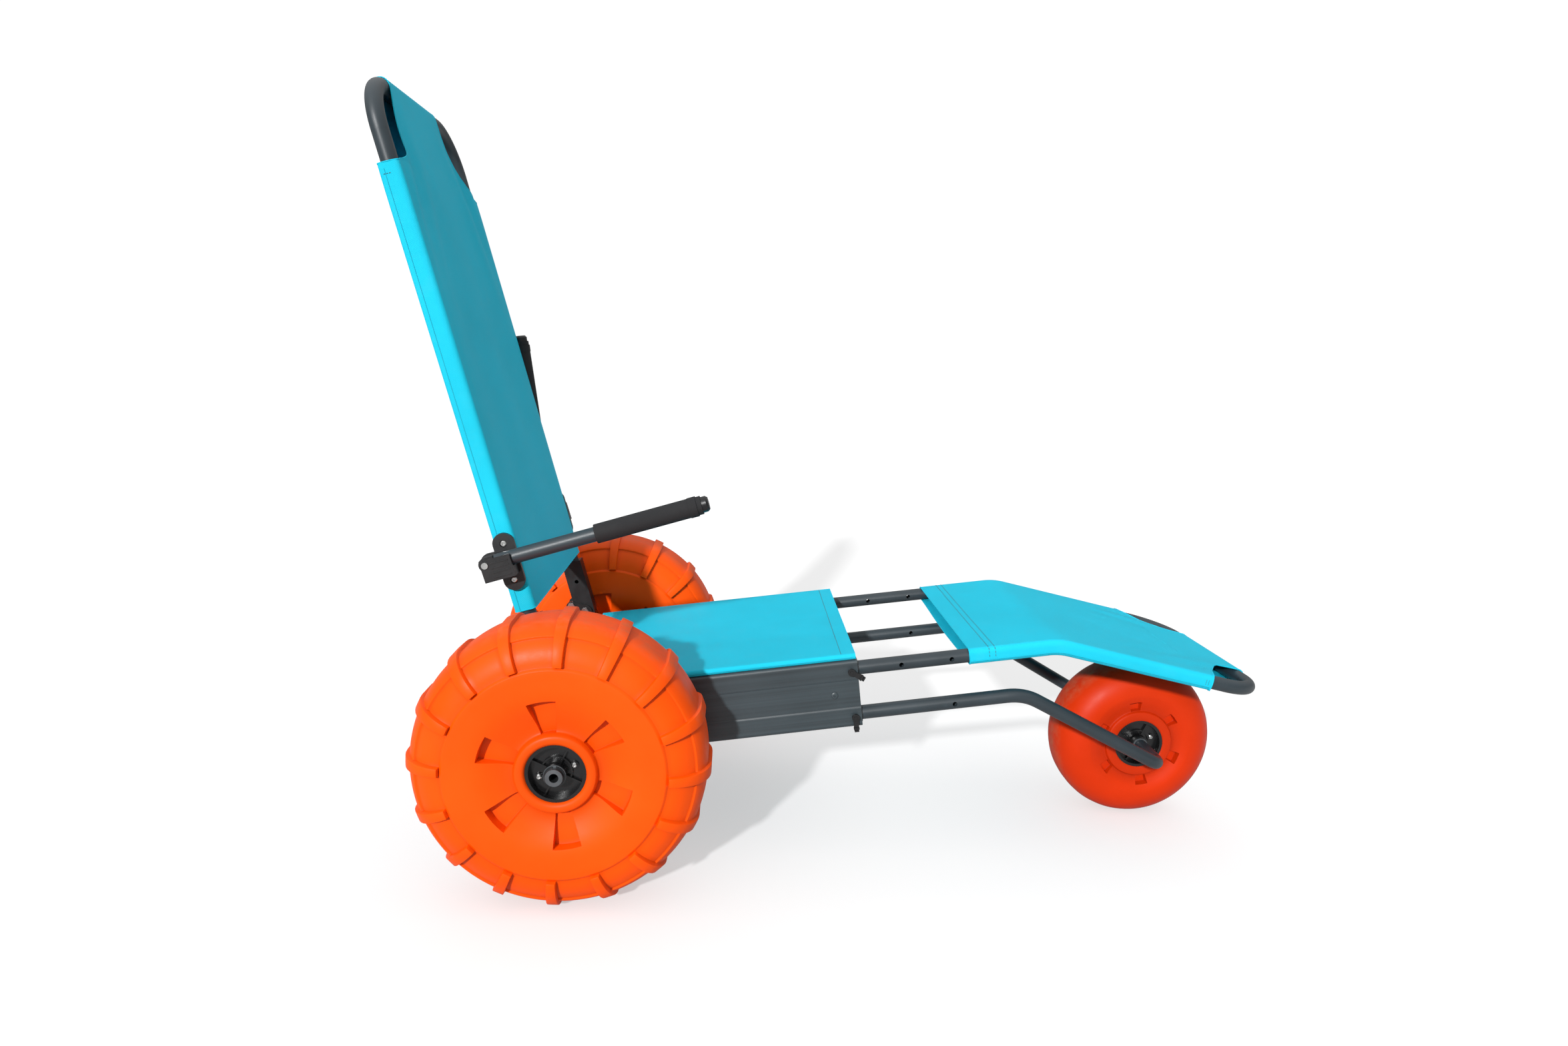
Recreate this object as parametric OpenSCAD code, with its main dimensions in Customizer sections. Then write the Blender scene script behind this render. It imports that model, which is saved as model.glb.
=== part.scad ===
// Beach cart: a reclining lounger on two large balloon wheels and one small front wheel.
// Millimetres. +X points to the feet, +Z up, and the sitter's right hand is on the -Y side.
// The origin is on the ground, in the middle of the cart's length and width.

/* [Rear wheels] */
// Diameter over the lugs
rear_wheel_d = 490; // [420:5:590]
// Width of a rear wheel
rear_wheel_w = 176; // [150:1:215]
// Distance between the middles of the two rear wheels
track = 672; // [650:1:820]
// Rounding of a rear wheel's shoulder
shoulder_r = 62; // [40:1:70]
// Number of lugs round a rear wheel
lug_count = 16; // [8:1:24]
// Width of one lug
lug_w = 21; // [12:1:30]
// Height of a lug above the tread
lug_h = 7; // [3:0.5:10]

/* [Front wheel] */
// Diameter of the front wheel
front_wheel_d = 320; // [270:5:380]
// Width of the front wheel
front_wheel_w = 130; // [120:1:150]
// Distance between the rear and the front axle
wheelbase = 1095; // [1040:1:1250]
// Rounding of the front wheel's shoulder
front_shoulder_r = 57; // [40:1:58]

/* [Hubs and axles] */
// Diameter of a wheel hub
hub_d = 94; // [86:1:104]
// Wall of the hollow wheels
wheel_wall = 6; // [4:0.5:8]
// Diameter of the rear axle tube
axle_d = 28; // [22:0.5:30]
// Bore of the rear axle tube
axle_bore_d = 15; // [8:0.5:18]

/* [Seat frame] */
// Slope of the seat, rising to the front
seat_slope = 7.5; // [0:0.5:10]
// Height of the leg rest's tubes above the ground, over the rear axle
rail_z = 299; // [290:1:330]
// Distance between the right and the left tube axes
frame_w = 440; // [400:1:460]
// Outside diameter of the leg rest, fork and arm tubes
tube_d = 25; // [22:0.5:26]
// Wall of those tubes
tube_wall = 2; // [1.5:0.25:3]
// Distance between the upper and the lower rail of a side panel
rail_gap = 84; // [78:1:110]
// Length of a side panel
panel_len = 595; // [560:5:700]
// How far a side panel reaches behind the rear axle
panel_behind = 95; // [85:1:120]
// Thickness of a side panel
panel_t = 33; // [31:0.5:36]
// Pitch of the length-setting holes
hole_pitch = 90; // [60:5:100]
// Diameter of the length-setting holes
hole_d = 8.4; // [6:0.2:9]

/* [Leg rest and fork] */
// Distance from the side panel to the leg rest's bend, along the seat
leg_bend_out = 363; // [330:1:440]
// Length of the leg rest beyond its bend
leg_len = 400; // [340:5:480]
// How far the leg rest turns down at its bend
leg_bend_deg = 20; // [10:1:25]
// Radius of the leg rest's end corners
leg_corner_r = 80; // [60:1:100]
// Distance from the side panel to the fork's bend, along the seat
fork_bend_out = 296; // [270:1:330]
// Distance between the two fork elbows
fork_end_w = 330; // [300:1:360]
// How far both pairs of tubes reach into the side panels
insert_len = 210; // [200:5:260]

/* [Backrest] */
// How far the back leans from upright
back_lean = 15.75; // [10:0.25:25]
// Length of the back from its pivot to its top tube
back_len = 1014; // [900:1:1100]
// Outside diameter of the back tube
back_tube_d = 28; // [24:0.5:30]
// Radius of the back's top corners
back_corner_r = 85; // [60:1:110]
// Height of the back's pivot above the ground
pivot_z = 340; // [338:1:352]
// How far the pivot lies behind the rear axle
pivot_behind = 47; // [40:1:60]

/* [Slings] */
// Thickness of the sling fabric
sling_t = 1.6; // [1:0.1:2.5]
// Depth of the back sling from its front to its back layer
back_sling_depth = 38; // [34:1:44]
// Height of the back sling's lower hem above the pivot
back_hem = 126; // [120:1:150]
// Length of the corner cut-outs at the back's top
back_cut_len = 150; // [110:1:160]
// Distance from the seat's front edge to the leg sling
leg_sling_out = 203; // [190:1:230]
// Length of the corner cut-outs at the leg rest's end
leg_cut_len = 125; // [95:1:130]
// How far a corner cut-out reaches in from the tube axis
cut_in = 60; // [45:1:75]

/* [Armrests] */
// Height of an armrest bracket above the back's pivot
arm_bracket_up = 216; // [200:1:260]
// Length of an armrest from its pin to its end
arm_len = 383; // [330:1:430]
// Slope of a lowered armrest
arm_slope = 17; // [5:1:25]
// How far an armrest swings up
arm_swing = 81; // [60:1:85]
// Length of a foam grip
grip_len = 183; // [140:1:220]
// Diameter of a foam grip
grip_d = 33; // [29:0.5:36]

/* [Hidden] */
$fn = 64;

RIGHT = 1;                              // the side as built
LEFT = -1;                              // its mirror image
NONE = 0.01;                            // so that a cut passes a face
FREE = 0.3;                             // gap between pieces that only lie side by side
RUN = 0.05;                             // radial clearance of a running fit
SLIDE = 0.25;                           // radial clearance of a tube in its rail

tube_r = tube_d / 2;
back_tube_r = back_tube_d / 2;
half_w = frame_w / 2;                   // tube axis from the middle of the cart
rear_r = rear_wheel_d / 2;
front_r = front_wheel_d / 2;
hub_r = hub_d / 2;
axle_r = axle_d / 2;
front_axle_r = tube_r - tube_wall - 0.1;    // it fills the ends of the fork's tubes

// seat frame, in its own sloping frame: x along the tubes from above the rear axle, z from the upper tube axis
panel_front = panel_len - panel_behind;
rail_r = tube_r + SLIDE;
rail_edge = 20;                         // a rail's axis from the panel's edge
panel_in = half_w - panel_t / 2;        // inner face of a side panel
panel_out = half_w + panel_t / 2;       // outer face of a side panel
web_inset = 1.5;                        // how far the panel's web lies in from its faces
panel_skin = 3;
pin_in = 12;                            // lock pin from the panel's front end
pin_x = panel_front - pin_in;
pin_r = 4;
pin_travel = 4;
pin_tip = half_w + rail_r + FREE;       // tip of a drawn pin
tube_rear = panel_front - insert_len;
cross_z = -rail_gap / 2;
cross_front_x = panel_front - 45;
cross_rear_x = 150;
cross_inset = 1;
guide_t = 3;                            // plastic ring in the mouth of a rail
sling_rod_r = 4;
sling_hem = sling_rod_r + sling_t;      // half height of the seat sling's side hem
sling_front = panel_front - 2;
sling_rear = -8;
seat_hem_y = panel_out - sling_hem;

// back, in its own leaning frame: z along the back from the pivot, x forward
post_depth = 40;
post_w = panel_t - 2 * FREE;
post_top = 112;
post_hole_z = 68;
post_floor = 24;                        // lower end of the back tube, above the pivot
pivot_r = 5;
plate_t = 4;
stop_r = 5;
stop_z = 18;
stop_x = -post_depth / 2 - stop_r - FREE;
sling_out = half_w + back_tube_r + FREE + sling_t;
sling_top = back_len + back_tube_r + FREE + sling_t;

// armrest, in its own frame: x along the arm from its pin, y outwards
arm_base_t = 8;
arm_base_y = sling_out + FREE;          // inner face of the bracket
arm_screw_y = arm_base_y + arm_base_t - 2.6;   // seat of a sunk bracket screw's head
arm_gap = tube_d + 1;                   // between the bracket's cheeks
arm_y = arm_base_y + arm_base_t + arm_gap / 2;
arm_pin_back = 31;                      // the pin behind the back tube's axis
arm_pin_up = 8;                         // and above the bracket's middle
arm_cheek_t = 5;
arm_cheek_len = 52;
arm_cheek_h = 38;
arm_cheek_low = 29;                     // lower edge of the cheeks below the pin
arm_pin_r = 4;
arm_pin_head_r = 5.5;
lobe_r = 18;
lobe_z = 32;                            // a bracket screw from the bracket's middle
tongue_r = 12;
tongue_len = 15;
cap_len = 12;

// wheels, about their own axis z with the outer side at +z
rear_rim_in = 16;                       // hub rim behind the wheel's face
front_rim_in = 7;
boss_r = 17.5;
boss_out = 8;                           // hub boss beyond the hub's rim
bush_flange = 2;
clip_t = 1.6;
hub_wall = 4;
hub_floor = 12;                         // hub floor behind the hub's rim
screw_at = 30;                          // hub screw from the axle

// the ends of the cart, for its middle
axle_z = rear_r;
tail_x = -pivot_behind - sling_top * sin(back_lean) - back_sling_depth / 2 * cos(back_lean);
leg_bend_x = panel_front + leg_bend_out;
leg_fall = leg_bend_deg - seat_slope;   // slope of the leg rest's end below level
leg_reach = tube_r + FREE + sling_t;    // outside of the leg sling from the tube's axis
leg_end = leg_bend_x * cos(seat_slope) + (leg_len + leg_reach) * cos(leg_fall) + leg_reach * sin(leg_fall);
middle_x = (tail_x + leg_end) / 2;

// ---- frames and general shapes ----

module seat_frame() {
    translate([0, 0, rail_z]) rotate([0, -seat_slope, 0]) children();
}

module back_frame_axes() {
    translate([-pivot_behind, 0, pivot_z]) rotate([0, -back_lean, 0]) children();
}

// What is built on the sitter's right, on that side or mirrored to the left.
module on_side(side) {
    if (side == RIGHT) children();
    else mirror([0, 1, 0]) children();
}

module both_sides() {
    on_side(RIGHT) children();
    on_side(LEFT) children();
}

// A cylinder along y, centred on its place.
module y_rod(r, length) {
    rotate([90, 0, 0]) cylinder(r = r, h = length, center = true);
}

// A cylinder along y from y0 towards -y.
module y_post(r, y0, length) {
    translate([0, -y0, 0]) rotate([90, 0, 0]) cylinder(r = r, h = length);
}

module rod_between(a, b, r) {
    d = b - a;
    translate(a) rotate([0, acos(d.z / norm(d)), atan2(d.y, d.x)]) cylinder(r = r, h = norm(d));
}

function unit(v) = v / norm(v);
function leg_dir(p, i) = unit(p[i + 1] - p[i]);
function turn_at(p, i) = acos(leg_dir(p, i - 1) * leg_dir(p, i));
function bend_reach(p, i, bend) = bend[i] == 0 ? 0 : bend[i] * tan(turn_at(p, i) / 2);
function leg_run(p, i, bend) = norm(p[i + 1] - p[i]) - bend_reach(p, i, bend) - bend_reach(p, i + 1, bend);
function bend_axis(p, i) = unit(cross(leg_dir(p, i - 1), leg_dir(p, i)));
function twist_at(p, i) = i < 2 ? 0 : atan2(
    cross(bend_axis(p, i - 1), bend_axis(p, i)) * leg_dir(p, i - 1), bend_axis(p, i - 1) * bend_axis(p, i));

BEND_SWELL = 0.05;                      // a bar is this much thicker round its bends
BEND_POKE = 0.5;                        // how far its straight legs reach into them

// A round bar from its bend i on: each leg and bend is drawn at the end of the one before it.
module bar_from(p, bend, r, i) {
    run = leg_run(p, i, bend);
    more = i < len(p) - 2;
    z0 = i == 0 ? 0 : -BEND_POKE;
    translate([0, 0, z0]) cylinder(r = r, h = run - z0 + (more ? BEND_POKE : 0));
    if (more) translate([0, 0, run]) rotate([0, 0, twist_at(p, i + 1)]) {
        bend_r = bend[i + 1];
        turn = turn_at(p, i + 1);
        translate([bend_r, 0, 0]) rotate([90, 0, 0]) rotate_extrude(angle = turn, start = 180 - turn)
            translate([bend_r, 0]) circle(r = r + BEND_SWELL);
        translate([bend_r, 0, 0]) rotate([0, turn, 0]) translate([-bend_r, 0, 0])
            bar_from(p, bend, r, i + 1);
    }
}

// A round bar along the points p, bent at each inner point to the radius in bend.
module bent_rod(p, bend, r) {
    z = leg_dir(p, 0);
    y = bend_axis(p, 1);
    x = cross(y, z);
    multmatrix([[x.x, y.x, z.x, p[0].x], [x.y, y.y, z.y, p[0].y], [x.z, y.z, z.z, p[0].z], [0, 0, 0, 1]])
        bar_from(p, bend, r, 0);
}

// The same bar as a tube, open at both ends.
module bent_tube(p, bend, r, wall) {
    n = len(p) - 1;
    longer = [for (i = [0 : n])
        i == 0 ? p[0] + unit(p[0] - p[1]) : i == n ? p[n] + unit(p[n] - p[n - 1]) : p[i]];
    difference() {
        bent_rod(p, bend, r);
        bent_rod(longer, bend, r - wall);
    }
}

// ---- seat frame ----

module panel_section() {
    difference() {
        union() {
            for (z = [0, -rail_gap]) translate([0, z]) rounded_rect(panel_t, 2 * rail_edge, 7);
            translate([-panel_t / 2 + web_inset, -rail_gap])
                square([panel_t - 2 * web_inset, rail_gap]);
        }
        for (z = [0, -rail_gap]) translate([0, z]) circle(r = rail_r);
        translate([-panel_t / 2 + web_inset + panel_skin, -rail_gap + rail_edge])
            square([panel_t - 2 * (web_inset + panel_skin), rail_gap - 2 * rail_edge]);
    }
}

module rounded_rect(w, h, r) {
    square([w, h - 2 * r], center = true);
    square([w - 2 * r, h], center = true);
    for (x = [-1, 1], y = [-1, 1]) translate([x * (w / 2 - r), y * (h / 2 - r)]) circle(r = r);
}

// Places a section drawn as (across, up) along the seat's tubes, from x0, on the sitter's right.
module along_rail(x0, length) {
    translate([x0, -half_w, 0]) rotate([90, 0, 90]) linear_extrude(length) children();
}

function seat_local_x(x, z) = x * cos(seat_slope) + (z - rail_z) * sin(seat_slope);
function seat_local_z(x, z) = (z - rail_z) * cos(seat_slope) - x * sin(seat_slope);

hinge_bolt_x = [-panel_behind + 22, -panel_behind + 62];
pivot_local = [seat_local_x(-pivot_behind, pivot_z), seat_local_z(-pivot_behind, pivot_z)];
stop_world = [
    -pivot_behind + stop_x * cos(back_lean) - stop_z * sin(back_lean),
    pivot_z + stop_x * sin(back_lean) + stop_z * cos(back_lean)
];
stop_local = [seat_local_x(stop_world.x, stop_world.y), seat_local_z(stop_world.x, stop_world.y)];
axle_local = [seat_local_x(0, axle_z), seat_local_z(0, axle_z)];
hinge_bolt_r = 3;

module side_panel(side) {
    color("#3a4146") seat_frame() on_side(side) difference() {
        along_rail(-panel_behind, panel_len) panel_section();
        translate([axle_local.x, -half_w, axle_local.y]) y_rod(axle_r + RUN, 2 * panel_t);
        for (x = hinge_bolt_x) translate([x, -half_w, 0]) y_rod(hinge_bolt_r + RUN, 2 * panel_t);
        for (x = [cross_front_x, cross_rear_x]) translate([x, -half_w, cross_z])
            y_rod(hinge_bolt_r + RUN, 2 * panel_t);
        for (z = [0, -rail_gap]) translate([pin_x, 0, z]) y_post(pin_r + RUN, half_w, panel_t);
        for (z = [0, -rail_gap]) translate([panel_front - guide_t, -half_w, z]) rotate([0, 90, 0])
            cylinder(r = rail_r + 2.5, h = guide_t + NONE);
    }
}

// Plastic rings in the mouths of the rails, which the tubes run through.
module rail_guides() {
    color("#1b1c1e") seat_frame() both_sides() for (z = [0, -rail_gap])
        translate([panel_front - guide_t, -half_w, z]) rotate([0, 90, 0]) difference() {
            union() {
                cylinder(r = rail_r + 2.4, h = guide_t);
                translate([0, 0, guide_t + FREE / 3]) cylinder(r = rail_r + 3.2, h = 1.2);
                translate([0, 0, guide_t - 1]) cylinder(r = rail_r + 2.4, h = 1.5);
            }
            translate([0, 0, -1]) cylinder(r = tube_r + SLIDE, h = guide_t + 4);
        }
}

module panel_rear_caps() {
    cap_t = 3;
    plug = 8;
    color("#1b1c1e") seat_frame() both_sides() {
        along_rail(-panel_behind - cap_t, cap_t) union() {
            for (z = [0, -rail_gap]) translate([0, z]) rounded_rect(panel_t, 2 * rail_edge, 7);
            translate([-panel_t / 2 + web_inset, -rail_gap]) square([panel_t - 2 * web_inset, rail_gap]);
        }
        along_rail(-panel_behind, plug) for (z = [0, -rail_gap]) translate([0, z]) circle(r = rail_r - 0.2);
    }
}

module cross_tube(x) {
    color("#33393d") seat_frame() translate([x, 0, cross_z]) difference() {
        y_rod(tube_r, 2 * (panel_in + web_inset) - 2 * FREE / 3);
        y_rod(hinge_bolt_r + RUN, frame_w);
    }
}

module cross_tube_bolts() {
    head_y = panel_out - web_inset;
    color("#b9bcbf") seat_frame() both_sides() for (x = [cross_front_x, cross_rear_x])
        translate([x, 0, cross_z]) {
            y_post(hinge_bolt_r, half_w - 60, head_y - half_w + 60);
            translate([0, -head_y, 0]) rotate([90, 0, 0]) button_head(6);
        }
}

// A low domed head with a hexagon socket, rising from z = 0.
module button_head(r) {
    difference() {
        union() {
            cylinder(r = r, h = 1.4);
            translate([0, 0, 1.4]) cylinder(r1 = r, r2 = 0.7 * r, h = 1);
        }
        translate([0, 0, 1]) cylinder(r = 0.4 * r, h = 3, $fn = 6);
    }
}

pocket_turn = 98;                       // direction of a wheel's first pocket
wheel_y = track / 2;
rear_hub_end = rear_wheel_w / 2 - rear_rim_in + boss_out;   // from the wheel's middle
axle_end = wheel_y + rear_wheel_w / 2 + 1.5;

module rear_axle() {
    clip_y = wheel_y + rear_hub_end + bush_flange + FREE;
    color("#565d61") translate([0, 0, axle_z]) difference() {
        y_rod(axle_r, 2 * axle_end);
        y_rod(axle_bore_d / 2, 2 * axle_end + 2);
        both_sides() translate([0, -clip_y - clip_t / 2, 0]) rotate([90, 0, 0]) difference() {
            cylinder(r = axle_r + 1, h = clip_t + 2 * RUN, center = true);
            cylinder(r = axle_r - 1.2, h = clip_t + 1, center = true);
        }
    }
}

// Rings that hold each wheel clear of its side panel.
module axle_spacers() {
    inner = panel_out + 0.1;
    outer = wheel_y - rear_hub_end - bush_flange - FREE;
    color("#26282a") translate([0, 0, axle_z]) both_sides() difference() {
        y_post(axle_r + 3.5, inner, outer - inner);
        y_post(axle_r + RUN, inner - 1, outer - inner + 2);
    }
}

// Snap rings in the axle's grooves, outside the wheels.
module axle_clips() {
    clip_y = wheel_y + rear_hub_end + bush_flange + FREE;
    color("#b9bcbf") translate([0, 0, axle_z]) both_sides() translate([0, -clip_y, 0]) rotate([90, 0, 0])
        difference() {
            cylinder(r = axle_r + 3, h = clip_t);
            translate([0, 0, -1]) cylinder(r = axle_r - 1.2 + RUN, h = clip_t + 2);
            translate([-3, 0, -1]) cube([6, axle_r + 6, clip_t + 2]);
        }
}

// The seat: a sheet with a hem along each side, pulled over a rod on top of the panel.
module seat_sling() {
    color("#25c8e6") seat_frame() on_side(RIGHT)
        translate([sling_rear, 0, rail_edge + FREE / 3 + sling_hem]) rotate([90, 0, 90])
        linear_extrude(sling_front - sling_rear) difference() {
            union() {
                for (s = [-1, 1]) translate([s * seat_hem_y, 0]) circle(r = sling_hem);
                translate([-seat_hem_y, sling_hem - sling_t]) square([2 * seat_hem_y, sling_t]);
            }
            for (s = [-1, 1]) translate([s * seat_hem_y, 0]) circle(r = sling_rod_r + 0.1);
        }
}

module sling_rods() {
    color("#8d9396") seat_frame() both_sides()
        translate([sling_rear + 4, -seat_hem_y, rail_edge + FREE / 3 + sling_hem]) rotate([0, 90, 0])
        cylinder(r = sling_rod_r, h = sling_front - sling_rear - 8);
}

// Two plates that hold the back's pivot, bolted to a side panel, one on each face.
module hinge_plates(side) {
    color("#26292b") seat_frame() on_side(side)
        for (y = [panel_out, panel_in - plate_t]) translate([0, -y, 0]) rotate([90, 0, 0]) difference() {
            linear_extrude(plate_t) hull() {
                for (x = hinge_bolt_x) translate([x, -2]) circle(r = 12, $fn = 32);
                translate(pivot_local) circle(r = 15, $fn = 32);
                translate(stop_local) circle(r = 11, $fn = 32);
            }
            for (x = hinge_bolt_x) translate([x, 0, -1]) cylinder(r = hinge_bolt_r + RUN, h = plate_t + 2);
            translate([pivot_local.x, pivot_local.y, -1]) cylinder(r = pivot_r + RUN, h = plate_t + 2);
            translate([stop_local.x, stop_local.y, -1]) cylinder(r = stop_r + RUN, h = plate_t + 2);
        }
}

// A bolt along y through both hinge plates, with a domed head outside and a nut inside.
module through_bolt(r, head) {
    inner = panel_in - plate_t;
    outer = panel_out + plate_t;
    y_post(r, inner - 4, outer - inner + 4);
    translate([0, -outer, 0]) rotate([90, 0, 0]) button_head(head);
    translate([0, -inner + 0.02, 0]) rotate([-90, 0, 0]) cylinder(r = head + 1, h = 4, $fn = 6);
}

module hinge_plate_bolts() {
    color("#b9bcbf") seat_frame() both_sides() for (x = hinge_bolt_x) translate([x, 0, 0])
        through_bolt(hinge_bolt_r, 6);
}

module back_pivot_bolts() {
    color("#b9bcbf") seat_frame() both_sides() translate([pivot_local.x, 0, pivot_local.y])
        through_bolt(pivot_r, 8);
}

module back_stop_bolts() {
    color("#b9bcbf") seat_frame() both_sides() translate([stop_local.x, 0, stop_local.y])
        through_bolt(stop_r, 8);
}

// ---- backrest ----

module back_frame() {
    color("#34393c") back_frame_axes() difference() {
        bent_tube(
            [[0, -half_w, post_floor], [0, -half_w, back_len], [0, half_w, back_len], [0, half_w, post_floor]],
            [0, back_corner_r, back_corner_r, 0], back_tube_r, tube_wall);
        both_sides() translate([0, 0, post_hole_z]) y_post(hole_d / 2, half_w - 20, 40);
        both_sides() for (s = [-1, 1]) translate([0, 0, arm_bracket_up + s * lobe_z])
            y_post(2.6, half_w, 30);
    }
}

// A block with a rounded foot on the pivot, which holds the lower end of the back tube.
module hinge_post(side) {
    color("#222427") back_frame_axes() on_side(side) translate([0, -half_w, 0]) difference() {
        union() {
            y_rod(post_depth / 2, post_w);
            translate([-post_depth / 2, -post_w / 2, 0]) cube([post_depth, post_w, post_top]);
        }
        y_rod(pivot_r + RUN, post_w + 2);
        translate([0, 0, post_floor - 1]) cylinder(r = back_tube_r + RUN, h = post_top);
        translate([0, 0, post_hole_z]) y_rod(hole_d / 2, post_w + 2);
    }
}

// Shouldered screws that hold the back tube in its posts from outside.
module post_screws() {
    color("#1b1c1e") back_frame_axes() both_sides() translate([0, 0, post_hole_z]) {
        y_post(hole_d / 2 - RUN, half_w + 8, post_w / 2 - 8);
        translate([0, -half_w - post_w / 2 - 0.02, 0]) rotate([90, 0, 0]) button_head(7);
    }
}

// A sling's corner cut-out as (inwards, outwards along the tube), from the tube's axis and the sling's end.
module corner_cut(edge, length, deep = 0.7) {
    in = deep * cut_in;
    polygon([[-edge - 1, 1], [-edge - 1, -length], [0.5 * in, -0.76 * length],
             [0.96 * in, -0.5 * length], [in, -0.2 * length], [in, 1]]);
}

module back_sling_block(grow) {
    translate([-back_sling_depth / 2 + grow, -sling_out + grow, back_hem])
        cube([back_sling_depth - 2 * grow, 2 * (sling_out - grow), sling_top - grow - back_hem]);
}

// A flat sleeve over the back tube, open at its lower hem and cut away at its two top corners.
module back_sling() {
    color("#25c8e6") back_frame_axes() difference() {
        back_sling_block(0);
        translate([0, 0, -NONE]) back_sling_block(sling_t);
        both_sides() translate([-back_sling_depth, -half_w, sling_top]) rotate([90, 0, 90])
            linear_extrude(2 * back_sling_depth) corner_cut(sling_out - half_w, back_cut_len);
        both_sides() for (s = [-1, 1]) translate([0, 0, arm_bracket_up + s * lobe_z])
            y_post(2.8, half_w, 30);
    }
}

// ---- armrests ----

// Puts an armrest's own frame on the back: x along the arm from its pin, at an angle above the seat's level.
module at_arm_pin(up) {
    back_frame_axes() translate([-arm_pin_back, -arm_y, arm_bracket_up + arm_pin_up]) rotate([0, back_lean - up, 0])
        children();
}

module arm_bracket(side) {
    cheek_x0 = -8;
    color("#17181a") on_side(side) {
        difference() {
            union() {
                back_frame_axes() translate([0, -arm_base_y, arm_bracket_up]) rotate([90, 0, 0])
                    linear_extrude(arm_base_t) {
                        for (s = [-1, 1]) translate([0, s * lobe_z]) circle(r = lobe_r);
                        square([2 * lobe_r, 2 * lobe_z], center = true);
                        translate([-arm_pin_back, arm_pin_up]) circle(r = 14);
                        translate([-arm_pin_back, arm_pin_up - 14]) square([arm_pin_back, 28]);
                    }
                at_arm_pin(arm_slope) {
                    translate([cheek_x0, -arm_gap / 2 - arm_cheek_t, -arm_cheek_low])
                        cube([arm_cheek_len, arm_cheek_t, arm_cheek_h]);
                    translate([cheek_x0 + 4, -arm_gap / 2 - arm_cheek_t, -arm_cheek_low])
                        cube([arm_cheek_len - 4, arm_gap + arm_cheek_t + 4, arm_cheek_low - tube_r - FREE]);
                }
            }
            at_arm_pin(arm_slope) y_rod(arm_pin_r + RUN, 3 * arm_gap);
            back_frame_axes() for (s = [-1, 1]) translate([0, 0, arm_bracket_up + s * lobe_z]) {
                y_post(2.6, half_w, 60);
                y_post(6, arm_screw_y, 60);
            }
        }
        // shallow ribs along the outer cheek
        at_arm_pin(arm_slope) for (i = [0 : 3])
            translate([9, -arm_gap / 2 - arm_cheek_t - 0.8, -24 + 8 * i]) cube([arm_cheek_len - 22, 1, 2]);
    }
}

module arm_bracket_screws() {
    color("#c9ccce") back_frame_axes() both_sides() for (s = [-1, 1])
        translate([0, 0, arm_bracket_up + s * lobe_z]) {
            y_post(2.5, half_w + back_tube_r - tube_wall - 2, arm_screw_y - half_w - back_tube_r + tube_wall + 2);
            translate([0, -arm_screw_y - 0.02, 0]) rotate([90, 0, 0]) button_head(5.5);
        }
}

module arm_pin(side) {
    outer = arm_gap / 2 + arm_cheek_t;
    color("#d5d7d8") on_side(side) at_arm_pin(arm_slope) {
        translate([0, arm_gap / 2 + arm_base_t - 1, 0]) rotate([90, 0, 0])
            cylinder(r = arm_pin_r, h = arm_gap + arm_base_t + arm_cheek_t - 1);
        translate([0, -outer, 0]) rotate([90, 0, 0]) cylinder(r = arm_pin_head_r, h = 2);
    }
}

function arm_up(side) = arm_slope + (side == LEFT ? arm_swing : 0);

module arm_tube(side) {
    color("#3c4448") on_side(side) at_arm_pin(arm_up(side)) translate([tongue_len, 0, 0]) rotate([0, 90, 0])
        difference() {
            cylinder(r = tube_r, h = arm_len - cap_len - tongue_len);
            translate([0, 0, -1]) cylinder(r = tube_r - tube_wall, h = arm_len);
        }
}

// The plastic end that turns on the pin, with a plug that fills the tube's end.
module arm_tongue(side) {
    plug_len = 30;
    color("#17181a") on_side(side) at_arm_pin(arm_up(side)) difference() {
        union() {
            y_rod(tongue_r, tube_d - 1);
            translate([0, -tube_d / 2 + 0.5, -tongue_r]) cube([tongue_len - FREE / 3, tube_d - 1, 2 * tongue_r]);
            rotate([0, 90, 0]) cylinder(r = tube_r - tube_wall - RUN, h = tongue_len + plug_len);
        }
        y_rod(arm_pin_r + RUN, 2 * tube_d);
    }
}

module arm_grip(side) {
    color("#202124") on_side(side) at_arm_pin(arm_up(side))
        translate([arm_len - cap_len - grip_len, 0, 0]) rotate([0, 90, 0]) difference() {
            union() {
                cylinder(r = grip_d / 2, h = grip_len - 22);
                translate([0, 0, grip_len - 22]) cylinder(r = grip_d / 2 + 0.8, h = 14);
                translate([0, 0, grip_len - 8]) cylinder(r = grip_d / 2 - 0.8, h = 8);
            }
            translate([0, 0, -1]) cylinder(r = tube_r + 0.1, h = grip_len + 2);
        }
}

module arm_cap(side) {
    color("#17181a") on_side(side) at_arm_pin(arm_up(side)) translate([arm_len - cap_len, 0, 0])
        rotate([0, 90, 0]) {
            translate([0, 0, -14]) cylinder(r = tube_r - tube_wall - RUN, h = 14 + NONE);
            translate([0, 0, FREE / 3]) cylinder(r = tube_r + 1, h = cap_len - 4);
            translate([0, 0, cap_len - 4 + FREE / 3]) cylinder(r1 = tube_r + 1, r2 = tube_r - 2, h = 4 - FREE / 3);
        }
}

// ---- leg rest and fork ----

leg_bend_r = 110;
leg_bend_sag = leg_bend_r * (1 / cos(leg_bend_deg / 2) - 1);
leg_end_point = [
    leg_bend_x + leg_len * cos(leg_bend_deg),
    -leg_len * sin(leg_bend_deg)
];

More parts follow.
